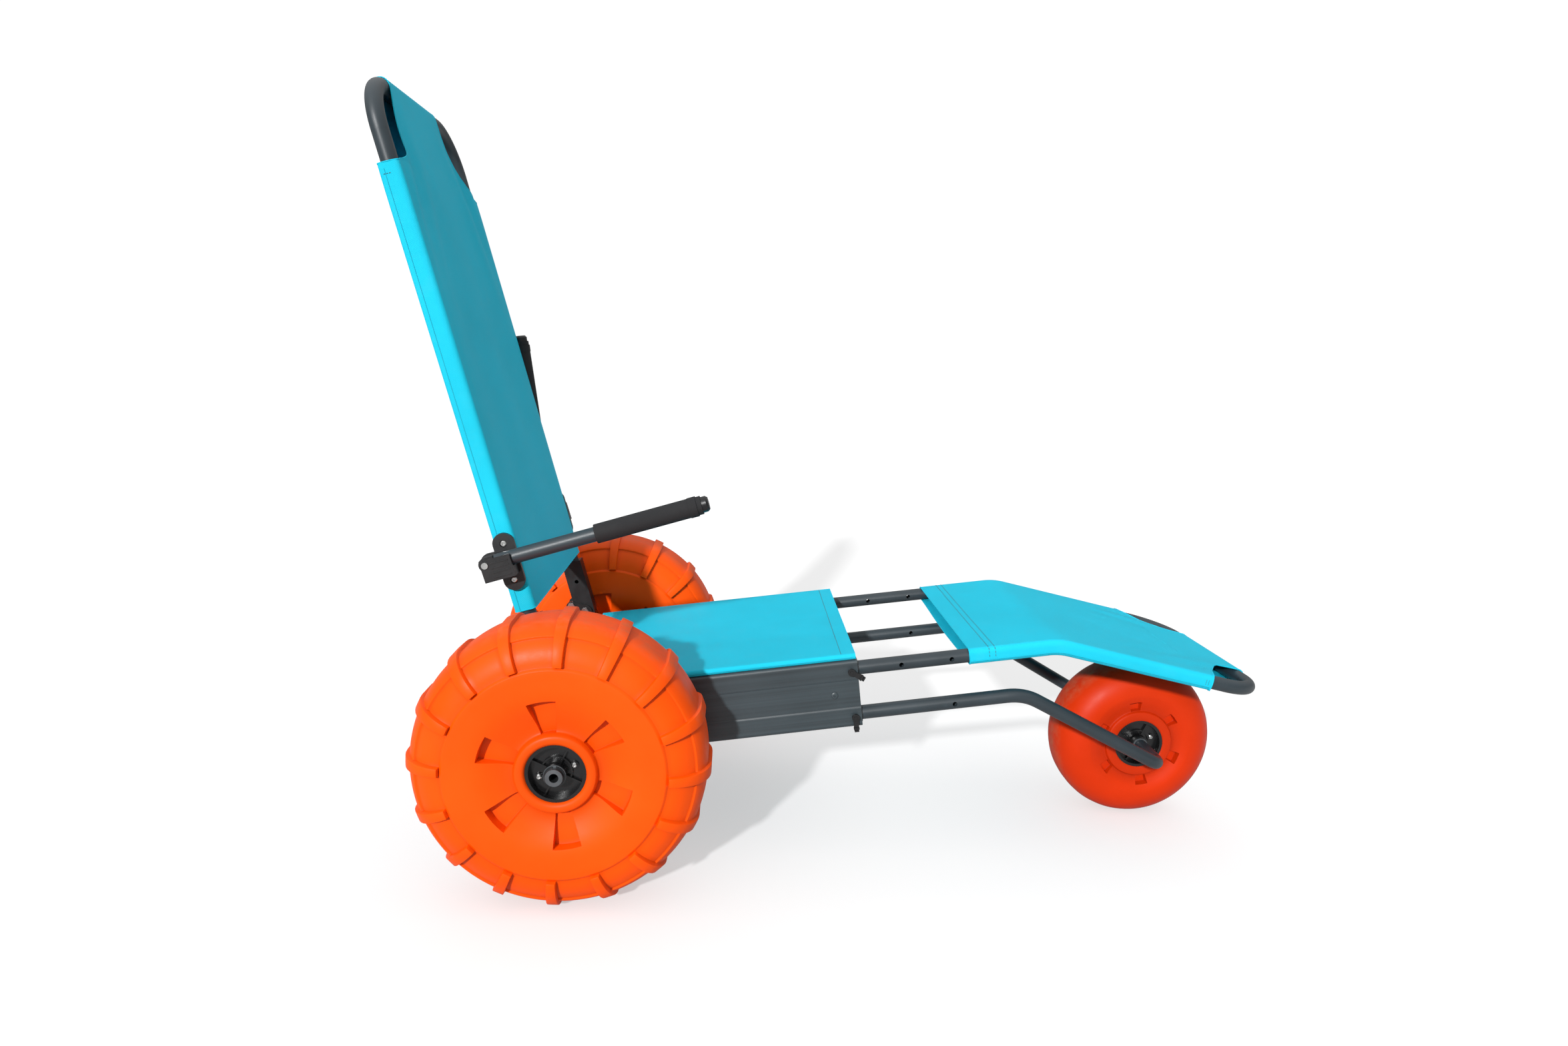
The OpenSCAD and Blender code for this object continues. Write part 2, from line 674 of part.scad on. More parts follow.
module leg_frame() {
    color("#3a4146") seat_frame() difference() {
        bent_tube(
            [[tube_rear, -half_w, 0], [leg_bend_x, -half_w, 0], [leg_end_point.x, -half_w, leg_end_point.y],
             [leg_end_point.x, half_w, leg_end_point.y], [leg_bend_x, half_w, 0], [tube_rear, half_w, 0]],
            [0, leg_bend_r, leg_corner_r, leg_corner_r, leg_bend_r, 0], tube_r, tube_wall);
        for (i = [0 : 2]) translate([pin_x + i * hole_pitch, 0, 0]) y_rod(hole_d / 2, 2 * frame_w);
    }
}

// Side outline of the leg sling as (x, z) in the seat's frame, grown by g on its upper and lower side.
function leg_outline(g, x0) = let (
        reach = tube_r + FREE + g,
        lift = reach * tan(leg_bend_deg / 2),
        dx = sin(leg_bend_deg) * reach,
        dz = cos(leg_bend_deg) * reach,
        past = leg_len + tube_r + FREE + g,
        ex = leg_bend_x + past * cos(leg_bend_deg),
        ez = -past * sin(leg_bend_deg))
    [[x0, reach], [leg_bend_x + lift, reach], [ex + dx, ez + dz],
     [ex - dx, ez - dz], [leg_bend_x - lift, -reach - leg_bend_sag], [x0, -reach]];

module leg_sling_block(g, x0) {
    w = half_w + tube_r + FREE + g;
    translate([0, w, 0]) rotate([90, 0, 0]) linear_extrude(2 * w) polygon(leg_outline(g, x0));
}

// A flat sleeve over the leg rest, open at its rear edge and cut away at its two end corners.
module leg_sling() {
    start = sling_front + leg_sling_out - 2;
    color("#25c8e6") seat_frame() difference() {
        leg_sling_block(sling_t, start);
        leg_sling_block(0, start - 1);
        both_sides() translate([leg_bend_x, 0, 0]) rotate([0, leg_bend_deg, 0])
            translate([leg_len + leg_reach, -half_w, -2 * tube_d]) linear_extrude(4 * tube_d)
            mirror([0, 1, 0]) rotate(-90) corner_cut(leg_reach, leg_cut_len, 1.7);
    }
}

fork_bend_x = panel_front + fork_bend_out;
fork_bend = [
    fork_bend_x * cos(seat_slope) + rail_gap * sin(seat_slope),
    rail_z + fork_bend_x * sin(seat_slope) - rail_gap * cos(seat_slope)
];
fork_rear = [
    tube_rear * cos(seat_slope) + rail_gap * sin(seat_slope),
    rail_z + tube_rear * sin(seat_slope) - rail_gap * cos(seat_slope)
];
front_hub_end = front_wheel_w / 2 - front_rim_in + boss_out;
fork_tip_y = front_hub_end + bush_flange + FREE;

module fork_tube(side) {
    color("#3a4146") on_side(side) difference() {
        bent_tube(
            [[fork_rear.x, -half_w, fork_rear.y], [fork_bend.x, -half_w, fork_bend.y],
             [wheelbase, -fork_end_w / 2, front_r], [wheelbase, -fork_tip_y, front_r]],
            [0, 90, 38, 0], tube_r, tube_wall);
        seat_frame() for (i = [0, 2]) translate([pin_x + i * hole_pitch, -half_w, -rail_gap])
            y_rod(hole_d / 2, 2 * tube_d);
    }
}

// A rod through the front hub, with its ends inside the fork's elbows.
module front_axle() {
    color("#9da2a5") translate([wheelbase, 0, front_r])
        y_rod(front_axle_r, 2 * (fork_tip_y + 32));
}

// ---- wheels ----

// Half section of a wheel's outside: r from the axle, z across, with round shoulders.
module tyre_section(r_out, r_in, w, shoulder) {
    translate([r_in, -w / 2]) square([r_out - shoulder - r_in, w]);
    translate([r_in, -w / 2 + shoulder]) square([r_out - r_in, w - 2 * shoulder]);
    for (s = [-1, 1]) translate([r_out - shoulder, s * (w / 2 - shoulder)]) circle(r = shoulder);
}

// A hollow moulded wheel: face dish, hub seat and six pockets on both sides.
module wheel_body(r_out, w, shoulder, rim_in, dish_at, dish_r, dish_lift, slot, slot_deep) {
    seat_r = hub_r + 13;                 // outer edge of the raised ring round the hub
    neck_w = w - 2 * (slot_deep + wheel_wall);
    difference() {
        rotate_extrude() difference() {
            tyre_section(r_out, hub_r + 0.1, w, shoulder);
            for (s = [-1, 1]) {
                translate([dish_at, s * (w / 2 + dish_lift)]) circle(r = dish_r);
                translate([0, s > 0 ? w / 2 - rim_in : -w / 2 - rim_in]) square([seat_r, 2 * rim_in]);
            }
            translate([0, -w]) square([hub_r + 0.1, 2 * w]);
            tyre_section(r_out - wheel_wall, slot[1] + 2 * wheel_wall, w - 2 * wheel_wall,
                shoulder - wheel_wall);
            translate([hub_r + wheel_wall, -neck_w / 2])
                square([slot[1] + 3 * wheel_wall - hub_r - wheel_wall, neck_w]);
        }
        for (i = [0 : 5], s = [0, 1]) mirror([0, 0, s]) rotate(pocket_turn + 60 * i)
            translate([0, 0, w / 2 - slot_deep]) linear_extrude(slot_deep + 1)
                polygon([[slot[0], -slot[2] / 2], [slot[1], -slot[3] / 2],
                         [slot[1], slot[3] / 2], [slot[0], slot[2] / 2]]);
    }
}

// Lugs across the tread and down both shoulders.
module lugs(r_out, w, shoulder) {
    rise = 2;                            // a lug's height on the shoulder's side
    intersection() {
        rotate_extrude() difference() {
            tyre_section(r_out, r_out - shoulder - lug_h - 4, w + 2 * rise, shoulder + lug_h);
            tyre_section(r_out - lug_h - 3, r_out - 2 * shoulder, w - 6, shoulder - 3);
            square([r_out - shoulder - lug_h + 4, 2 * w], center = false);
            translate([0, -2 * w]) square([r_out - shoulder - lug_h + 4, 2 * w]);
        }
        for (i = [0 : lug_count - 1]) rotate(88 + i * 360 / lug_count)
            translate([0, -lug_w / 2, -w]) cube([r_out + 1, lug_w, 2 * w]);
    }
}

// Raised band round the tread, between the lugs.
module tread_band(r_out, w, shoulder) {
    band_h = 3;
    rotate_extrude() translate([r_out - lug_h - 3, -w / 2 + 0.78 * shoulder])
        square([band_h + 3, w - 1.56 * shoulder]);
}

module at_rear_wheel(side) {
    on_side(side) translate([0, -wheel_y, axle_z]) rotate([90, 0, 0]) children();
}

module at_front_wheel() {
    translate([wheelbase, 0, front_r]) rotate([90, 0, 0]) children();
}

module rear_tyre(side) {
    color("#ff5a0a") at_rear_wheel(side) union() {
        wheel_body(rear_r - lug_h, rear_wheel_w, shoulder_r, rear_rim_in, 85, 30, 10, [58, 107, 22, 42], 25);
        tread_band(rear_r, rear_wheel_w, shoulder_r);
        lugs(rear_r, rear_wheel_w, shoulder_r);
    }
}

module front_tyre() {
    color("#e8400f") at_front_wheel()
        wheel_body(front_r, front_wheel_w, front_shoulder_r, front_rim_in, 73, 18, 9, [59, 80, 13, 17], 13);
}

// One half of a hub: a cup with a floor, a boss and a rim, from the wheel's middle to the hub's rim.
module hub_half(rim_z, bore_r) {
    cup_r = hub_r - hub_wall;
    difference() {
        union() {
            difference() {
                cylinder(r = hub_r, h = rim_z);
                translate([0, 0, rim_z - hub_floor]) cylinder(r = cup_r, h = hub_floor + 1);
                translate([0, 0, -1]) cylinder(r = cup_r, h = rim_z - hub_floor - 4);
            }
            translate([0, 0, rim_z + 0.05]) difference() {
                cylinder(r = hub_r + 1.5, h = 1.6);
                translate([0, 0, -1]) cylinder(r = cup_r, h = 4);
            }
            translate([0, 0, rim_z - 1]) difference() {
                cylinder(r = hub_r, h = 2);
                translate([0, 0, -1]) cylinder(r = cup_r, h = 4);
            }
            cylinder(r = boss_r, h = rim_z + boss_out);
            for (a = [65, 155, 245, 335]) rotate(a) translate([boss_r - 1, -1.25, rim_z - hub_floor - 1])
                cube([cup_r - boss_r + 2, 2.5, 6]);
            // a crescent round the upper half of the boss
            translate([0, 0, rim_z - hub_floor - 1]) intersection() {
                difference() {
                    cylinder(r = 25.5, h = 5);
                    translate([0, 0, -1]) cylinder(r = 23, h = 7);
                }
                rotate(-25) translate([-40, 0, 0]) cube([80, 40, 8]);
            }
            for (a = [20, 200]) rotate(a) translate([screw_at, 0, rim_z - hub_floor - 1])
                cylinder(r = 6.5, h = 3.5);
        }
        translate([0, 0, -1]) cylinder(r = bore_r + 2.5 + RUN, h = rim_z + boss_out + 2);
        for (a = [20, 200]) rotate(a) translate([screw_at, 0, -1]) cylinder(r = 2.1, h = rim_z + 2);
    }
}

module hub(rim_z, bore_r) {
    color("#17181a") {
        translate([0, 0, 0.02]) hub_half(rim_z, bore_r);
        mirror([0, 0, 1]) translate([0, 0, 0.02]) hub_half(rim_z, bore_r);
    }
}

// Flanged bushes in the hub's two bosses.
module bushes(rim_z, bore_r) {
    end = rim_z + boss_out;
    color("#5b6063") for (s = [0, 1]) mirror([0, 0, s]) difference() {
        union() {
            translate([0, 0, end - 30]) cylinder(r = bore_r + 2.5, h = 30);
            translate([0, 0, end + 0.05]) cylinder(r = bore_r + 4, h = bush_flange);
            translate([0, 0, end - 1]) cylinder(r = bore_r + 2.5, h = 2);
        }
        translate([0, 0, end - 31]) cylinder(r = bore_r + RUN, h = 40);
    }
}

module hub_screws(rim_z) {
    seat = rim_z - hub_floor + 2.5;
    color("#d5d7d8") for (s = [0, 1]) mirror([0, 0, s]) for (a = [20, 200]) rotate(a)
        translate([screw_at, 0, 0]) {
            translate([0, 0, seat - 14]) cylinder(r = 2, h = 14.02);
            translate([0, 0, seat + 0.02]) button_head(4.5);
        }
}

rear_rim_z = rear_wheel_w / 2 - rear_rim_in;
front_rim_z = front_wheel_w / 2 - front_rim_in;

// ---- lock pins ----

// A steel pin with a plastic lever on its head, built on the sitter's right at the origin's height.
module lock_pin(side, z, turned) {
    head_y = panel_out + pin_travel + FREE;
    seat_frame() on_side(side) translate([pin_x, 0, z]) {
        color("#9da2a5") y_post(pin_r, pin_tip, head_y - pin_tip + 3);
        color("#141517") translate([0, -head_y, 0]) rotate([90, 0, 0]) rotate(turned) {
            cylinder(r = 6.5, h = 5);
            translate([0, -4.5, 0]) cube([19, 9, 4]);
            translate([18, -5, 0]) cube([3.5, 10, 6]);
            translate([23, -4, 0]) cube([3, 8, 5]);
            translate([20, -1.5, 0.5]) cube([5, 3, 3]);
            cylinder(r = 3, h = 6);
        }
    }
}

// ---- nodes ----

translate([-middle_x, 0, 0]) {
    side_panel(RIGHT);  // side_panel_right
    side_panel(LEFT);  // side_panel_left
    cross_tube(cross_front_x);  // cross_tube_front
    cross_tube(cross_rear_x);  // cross_tube_rear
    cross_tube_bolts();
    rear_axle();
    axle_spacers();
    axle_clips();
    seat_sling();
    sling_rods();
    rail_guides();
    panel_rear_caps();
    hinge_plates(RIGHT);  // hinge_plates_right
    hinge_plates(LEFT);  // hinge_plates_left
    hinge_plate_bolts();
    back_pivot_bolts();
    back_stop_bolts();
    back_frame();
    hinge_post(RIGHT);  // hinge_post_right
    hinge_post(LEFT);  // hinge_post_left
    post_screws();
    back_sling();
    arm_bracket(RIGHT);  // arm_bracket_right
    arm_bracket(LEFT);  // arm_bracket_left
    arm_bracket_screws();
    arm_pin(RIGHT);  // arm_pin_right
    arm_pin(LEFT);  // arm_pin_left
    arm_tube(RIGHT);  // arm_tube_right
    arm_grip(RIGHT);  // arm_grip_right
    arm_tongue(RIGHT);  // arm_tongue_right
    arm_cap(RIGHT);  // arm_cap_right
    arm_tube(LEFT);  // arm_tube_left
    arm_grip(LEFT);  // arm_grip_left
    arm_tongue(LEFT);  // arm_tongue_left
    arm_cap(LEFT);  // arm_cap_left
    leg_frame();
    leg_sling();
    fork_tube(RIGHT);  // fork_tube_right
    fork_tube(LEFT);  // fork_tube_left
    front_axle();
    rear_tyre(RIGHT);  // rear_tyre_right
    at_rear_wheel(RIGHT) hub(rear_rim_z, axle_r);  // rear_hub_right
    at_rear_wheel(RIGHT) bushes(rear_rim_z, axle_r);  // rear_bushes_right
    at_rear_wheel(RIGHT) hub_screws(rear_rim_z);  // rear_hub_screws_right
    rear_tyre(LEFT);  // rear_tyre_left
    at_rear_wheel(LEFT) hub(rear_rim_z, axle_r);  // rear_hub_left
    at_rear_wheel(LEFT) bushes(rear_rim_z, axle_r);  // rear_bushes_left
    at_rear_wheel(LEFT) hub_screws(rear_rim_z);  // rear_hub_screws_left
    front_tyre();
    at_front_wheel() hub(front_rim_z, front_axle_r);  // front_hub
    at_front_wheel() bushes(front_rim_z, front_axle_r);  // front_bushes
    at_front_wheel() hub_screws(front_rim_z);  // front_hub_screws
    lock_pin(RIGHT, 0, -35);  // lock_pin_leg_right
    lock_pin(LEFT, 0, -35);  // lock_pin_leg_left
    lock_pin(RIGHT, -rail_gap, -90);  // lock_pin_fork_right
    lock_pin(LEFT, -rail_gap, -90);  // lock_pin_fork_left
}
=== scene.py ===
# %% [markdown]
# # The looks of a beach cart
# The CAD model gives the frame: every tube, bolt and wheel is already in its place, in metres.
# Here the soft slings and the moulded wheels are modelled properly, and every part gets a finish.

# %% Load the frame
import math

import bmesh
import bpy
from mathutils import Matrix, Vector


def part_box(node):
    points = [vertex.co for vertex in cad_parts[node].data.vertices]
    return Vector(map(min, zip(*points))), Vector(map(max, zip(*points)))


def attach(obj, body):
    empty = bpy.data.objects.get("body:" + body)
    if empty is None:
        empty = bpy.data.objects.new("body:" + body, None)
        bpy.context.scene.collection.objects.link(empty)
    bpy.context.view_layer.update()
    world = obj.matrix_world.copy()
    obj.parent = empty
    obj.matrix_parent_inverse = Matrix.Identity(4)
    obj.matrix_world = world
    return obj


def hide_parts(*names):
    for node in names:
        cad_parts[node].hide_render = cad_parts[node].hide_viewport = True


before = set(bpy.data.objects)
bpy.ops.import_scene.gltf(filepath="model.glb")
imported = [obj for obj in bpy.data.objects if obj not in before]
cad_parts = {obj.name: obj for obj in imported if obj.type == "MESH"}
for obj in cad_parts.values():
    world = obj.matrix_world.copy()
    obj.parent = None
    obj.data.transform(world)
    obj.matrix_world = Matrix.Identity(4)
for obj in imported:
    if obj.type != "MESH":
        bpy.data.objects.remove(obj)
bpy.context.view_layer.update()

MM = 0.001

# %% [markdown]
# ## Where things are
# Two parts of the cart lean, so each gets its own set of axes: the seat slopes up to the front and the
# back leans away from it. A piece is drawn in those axes in plain numbers, and then turned into place.

# %% Axes of the seat and of the back
def middle_of(node):
    low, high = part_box(node)
    return (low + high) / 2

rear_hub = middle_of("rear_hub_right")
front_hub = middle_of("front_hub")
WHEEL_SIDE = abs(rear_hub.y)
SEAT_SLOPE = math.radians(7.5)
BACK_LEAN = math.radians(15.75)
seat_axes = Matrix.Translation((rear_hub.x, 0, 299 * MM)) @ Matrix.Rotation(-SEAT_SLOPE, 4, "Y")
back_axes = Matrix.Translation((rear_hub.x - 47 * MM, 0, 340 * MM)) @ Matrix.Rotation(-BACK_LEAN, 4, "Y")
print("rear hub at", [round(v, 4) for v in rear_hub], "front hub at", [round(v, 4) for v in front_hub])

# %% [markdown]
# ## Materials
# A real surface is never one flat colour. Each finish below mixes its colour with slow and fine noise,
# lets the gloss wander a little, and gives the light a slight relief to catch.

# %% A material starts with its nodes and a few short ways to add them
class Finish:
    def __init__(self, name, colour, roughness, metallic=0.0):
        self.material = bpy.data.materials.new(name)
        self.material.use_nodes = True
        self.nodes = self.material.node_tree.nodes
        self.links = self.material.node_tree.links
        self.shader = self.nodes["Principled BSDF"]
        self.shader.inputs["Base Color"].default_value = (*colour, 1)
        self.shader.inputs["Roughness"].default_value = roughness
        self.shader.inputs["Metallic"].default_value = metallic
        self.place = self.nodes.new("ShaderNodeTexCoord").outputs["Object"]

    def node(self, kind, **settings):
        made = self.nodes.new(kind)
        for key, value in settings.items():
            setattr(made, key, value)
        return made

    def link(self, out, into):
        self.links.new(out, into)

    def noise(self, scale, detail=3.0, rough=0.5, place=None):
        made = self.node("ShaderNodeTexNoise")
        made.inputs["Scale"].default_value = scale
        made.inputs["Detail"].default_value = detail
        made.inputs["Roughness"].default_value = rough
        self.link(place or self.place, made.inputs["Vector"])
        return made.outputs["Fac"]

    def ramp(self, value, low, high, at=(0.3, 0.7)):
        made = self.node("ShaderNodeValToRGB")
        made.color_ramp.elements[0].position = at[0]
        made.color_ramp.elements[1].position = at[1]
        made.color_ramp.elements[0].color = (*low, 1)
        made.color_ramp.elements[1].color = (*high, 1)
        self.link(value, made.inputs["Fac"])
        return made.outputs["Color"]

    def spread(self, value, low, high, at=(0.3, 0.7)):
        made = self.node("ShaderNodeMapRange")
        for name, number in zip(("From Min", "From Max", "To Min", "To Max"), (*at, low, high)):
            made.inputs[name].default_value = number
        self.link(value, made.inputs["Value"])
        return made.outputs["Result"]

    def mix(self, amount, one, two):
        made = self.node("ShaderNodeMix", data_type="RGBA")
        self.link(amount, made.inputs["Factor"])
        for value, into in ((one, made.inputs[6]), (two, made.inputs[7])):
            if isinstance(value, tuple):
                into.default_value = (*value, 1)
            else:
                self.link(value, into)
        return made.outputs[2]

    def maths(self, what, one, two=0.0):
        made = self.node("ShaderNodeMath", operation=what)
        for value, into in ((one, made.inputs[0]), (two, made.inputs[1])):
            if isinstance(value, (int, float)):
                into.default_value = value
            else:
                self.link(value, into)
        return made.outputs[0]

    def bump(self, height, distance, strength=1.0, after=None):
        made = self.node("ShaderNodeBump")
        made.inputs["Distance"].default_value = distance
        made.inputs["Strength"].default_value = strength
        self.link(height, made.inputs["Height"])
        if after:
            self.link(after, made.inputs["Normal"])
        self.link(made.outputs["Normal"], self.shader.inputs["Normal"])
        return made.outputs["Normal"]

    def use(self, colour=None, roughness=None):
        if colour:
            self.link(colour, self.shader.inputs["Base Color"])
        if roughness:
            self.link(roughness, self.shader.inputs["Roughness"])
        return self.material

def shade(colour, factor):
    return tuple(min(1.0, c * factor) for c in colour)

print("finish helper ready")

# %% [markdown]
# ### Sling fabric
# The slings are a coated mesh cloth. Its threads cross about every two millimetres, and the weave is drawn
# from the sheet's own unwrapped lengths, in metres: it then follows the cloth round every fold.

# %% Sling fabric
WEAVE = 2.1 * MM

def sling_finish(name, colour):
    f = Finish(name, colour, 0.6)
    uv = f.node("ShaderNodeUVMap", uv_map="cloth").outputs["UV"]
    split = f.node("ShaderNodeSeparateXYZ")
    f.link(uv, split.inputs["Vector"])
    turns = 2 * math.pi / WEAVE
    across = f.maths("SINE", f.maths("MULTIPLY", split.outputs["X"], turns))
    along = f.maths("SINE", f.maths("MULTIPLY", split.outputs["Y"], turns))
    crossing = f.maths("MULTIPLY", across, along)
    fine = f.noise(900, 2.0, 0.6, uv)
    slow = f.noise(4.5, 4.0, 0.55, uv)
    dusty = f.noise(26, 5.0, 0.6, uv)
    base = f.ramp(slow, shade(colour, 0.90), shade(colour, 1.08))
    base = f.mix(f.spread(crossing, 0.0, 0.75, (-1, 1)), base, shade(colour, 1.38))
    base = f.mix(f.spread(dusty, 0.0, 0.06, (0.55, 0.8)), base, (0.25, 0.60, 0.66))
    rough = f.spread(f.maths("ADD", f.maths("MULTIPLY", crossing, 0.06), fine), 0.46, 0.68, (0.2, 0.9))
    height = f.maths("ADD", f.maths("MULTIPLY", crossing, 0.7), f.maths("MULTIPLY", fine, 0.5))
    folds = f.bump(slow, 0.012, 0.5)
    f.bump(height, 0.0005, 0.8, folds)
    f.shader.inputs["Specular IOR Level"].default_value = 0.18
    return f.use(base, rough)

CYAN = (0.006, 0.470, 0.640)
sling_cloth = sling_finish("sling_cloth", CYAN)
# A darker copy of the sling cloth for the seam ribs: painted shade along the seams.
shaded_seam_cloth = sling_finish("shaded_seam_cloth", (0.006, 0.300, 0.420))
print("made", sling_cloth.name)

# %% [markdown]
# ### Moulded orange wheels
# The wheels are moulded in one colour and left matt. They show a soft orange-peel skin and fine scuffs where they
# have rolled. Shade is painted into their colour: the dished face darkens towards the hub, and hollow corners are
# darker. For the corners, each wheel's mesh carries a number for how hollow each corner is, and the finish reads it.

# %% Moulded wheel plastic
def moulded_finish(name, colour, centre, radius):
    f = Finish(name, colour, 0.42)
    slow = f.noise(7, 4.0)
    peel = f.noise(420, 2.0, 0.5)
    scuff = f.noise(55, 6.0, 0.7)
    base = f.ramp(slow, shade(colour, 0.90), shade(colour, 1.06))
    worn = f.spread(scuff, 0.0, 0.22, (0.60, 0.78))
    base = f.mix(worn, base, shade(colour, 1.25))
    shift = f.node("ShaderNodeVectorMath", operation="SUBTRACT")
    shift.inputs[1].default_value = centre
    f.link(f.place, shift.inputs[0])
    flat = f.node("ShaderNodeVectorMath", operation="MULTIPLY")
    flat.inputs[1].default_value = (1, 0, 1)
    f.link(shift.outputs[0], flat.inputs[0])
    reach = f.node("ShaderNodeVectorMath", operation="LENGTH")
    f.link(flat.outputs[0], reach.inputs[0])
    # Painted shade: the dished face is darkened towards the hub, where the dish lies in shade.
    dish = (0.27 * radius, 0.40 * radius) if radius > 0.2 else (0.42 * radius, 0.56 * radius)
    base = f.mix(f.spread(reach.outputs["Value"], 0.42, 0.0, dish), base, shade(colour, 0.62))
    rolled = f.maths("MULTIPLY", f.spread(reach.outputs["Value"], 0.0, 1.0, (radius * 0.94, radius)),
                     f.spread(scuff, 0.0, 0.5, (0.4, 0.7)))
    base = f.mix(rolled, base, (0.42, 0.16, 0.08))
    rough = f.spread(f.maths("ADD", slow, f.maths("MULTIPLY", scuff, 0.6)), 0.34, 0.56, (0.5, 1.1))
    soft = f.bump(slow, 0.0030, 0.12)
    f.bump(f.maths("ADD", peel, f.maths("MULTIPLY", scuff, 0.6)), 0.00025, 0.35, soft)
    hollow_shade = f.node("ShaderNodeAttribute", attribute_name="hollow_shade")
    # Painted shade: hollow corners are darkened by how hollow they are.
    base = f.mix(f.spread(hollow_shade.outputs["Fac"], 0.0, 0.72, (0.0, 0.24)), base, shade(colour, 0.40))
    f.shader.inputs["Specular IOR Level"].default_value = 0.14
    return f.use(base, rough)

ORANGE = (0.86, 0.078, 0.0002)
RED_ORANGE = (0.60, 0.029, 0.001)
rear_plastic = moulded_finish("rear_wheel_plastic", ORANGE, rear_hub, 245 * MM)
left_hub = Vector((rear_hub.x, -rear_hub.y, rear_hub.z))
rear_plastic_left = moulded_finish("rear_wheel_plastic_left", ORANGE, left_hub, 245 * MM)
front_plastic = moulded_finish("front_wheel_plastic", RED_ORANGE, front_hub, 160 * MM)
print("made", rear_plastic.name, front_plastic.name)

# %% [markdown]
# ### Powder coat, plastics, foam and steel
# The tubes and side panels wear a dark slate powder coat: fine grain, half matt, rubbed a little brighter in places.
# Long lighter streaks along the side panels are painted highlights for the light on their flutes, and the same
# streaks give a slight relief. The small parts are moulded black plastic, black foam and stainless steel.

# %% Powder coat, with or without the drawn lines of an extrusion and their painted highlight bands


def powder_coat(name, colour, lines=0.0):
    f = Finish(name, colour, 0.42)
    slow = f.noise(9, 4.0)
    grain = f.noise(1500, 2.0, 0.6)
    rubbed = f.noise(38, 6.0, 0.65)
    base = f.ramp(slow, shade(colour, 0.85), shade(colour, 1.18))
    base = f.mix(f.spread(rubbed, 0.0, 0.35, (0.60, 0.80)), base, shade(colour, 2.1))
    height = grain
    if lines:
        turn = f.node("ShaderNodeMapping")
        turn.inputs["Rotation"].default_value = (0, SEAT_SLOPE, 0)
        f.link(f.place, turn.inputs["Vector"])
        stretch = f.node("ShaderNodeMapping")
        stretch.inputs["Scale"].default_value = (0.4, 0.4, 70)
        f.link(turn.outputs["Vector"], stretch.inputs["Vector"])
        drawn_lines_and_highlight = f.noise(1.0, 5.0, 0.62, stretch.outputs["Vector"])
        height = f.maths("ADD", grain, f.maths("MULTIPLY", drawn_lines_and_highlight, lines * 6))
        # Painted highlight: the streaks lighten the panel's colour in long bands, for the light on its flutes.
        base = f.mix(f.spread(drawn_lines_and_highlight, 0.0, 0.8, (0.35, 0.65)), base, shade(colour, 1.9))
    rough = f.spread(f.maths("ADD", slow, grain), 0.34, 0.52, (0.6, 1.4))
    f.bump(height, 0.00015, 0.4)
    f.shader.inputs["Coat Weight"].default_value = 0.08
    f.shader.inputs["Coat Roughness"].default_value = 0.35
    return f.use(base, rough)

def black_moulding(name, colour, rough_low, rough_high, grain_depth=0.0002):
    f = Finish(name, colour, 0.4)
    slow, grain, rubbed = f.noise(14, 4.0), f.noise(900, 3.0, 0.6), f.noise(60, 6.0, 0.7)
    base = f.ramp(slow, shade(colour, 0.8), shade(colour, 1.3))
    base = f.mix(f.spread(rubbed, 0.0, 0.4, (0.62, 0.8)), base, shade(colour, 2.6))
    f.bump(grain, grain_depth, 0.4)
    return f.use(base, f.spread(f.maths("ADD", slow, rubbed), rough_low, rough_high, (0.7, 1.3)))

def foam_rubber(name):
    colour = (0.009, 0.009, 0.010)
    f = Finish(name, colour, 0.85)
    cells = f.node("ShaderNodeTexVoronoi")
    cells.inputs["Scale"].default_value = 1100
    f.link(f.place, cells.inputs["Vector"])
    slow = f.noise(20, 4.0)
    base = f.ramp(slow, shade(colour, 0.8), shade(colour, 1.5))
    f.bump(f.maths("ADD", cells.outputs["Distance"], slow), 0.0004, 0.6)
    return f.use(base, f.spread(slow, 0.75, 0.95))

def bright_metal(name, colour, rough_low, rough_high, brushed=0.0):
    f = Finish(name, colour, 0.3, 1.0)
    slow, fine = f.noise(40, 4.0), f.noise(700, 4.0, 0.7)
    base = f.ramp(slow, shade(colour, 0.85), shade(colour, 1.1))
    f.bump(fine, 0.00008, 0.3 + brushed)
    return f.use(base, f.spread(f.maths("ADD", slow, fine), rough_low, rough_high, (0.6, 1.4)))

SLATE = (0.020, 0.030, 0.037)
tube_coat = powder_coat("tube_coat", SLATE)
panel_coat = powder_coat("panel_coat", (0.021, 0.030, 0.035), lines=0.8)
black_plastic = black_moulding("black_plastic", (0.006, 0.0062, 0.007), 0.28, 0.5)
hub_plastic = black_moulding("hub_plastic", (0.006, 0.006, 0.0065), 0.16, 0.34, 0.0001)
bush_plastic = black_moulding("bush_plastic", (0.060, 0.068, 0.074), 0.35, 0.5)
grip_foam = foam_rubber("grip_foam")
steel = bright_metal("stainless_steel", (0.62, 0.62, 0.61), 0.18, 0.36)
grey_metal = bright_metal("grey_metal", (0.16, 0.17, 0.18), 0.35, 0.55, 0.2)
print("made", len(bpy.data.materials), "materials")

# %% [markdown]
# ### Which finish goes on which CAD part
# The CAD meshes are right in shape, so they only change their material.

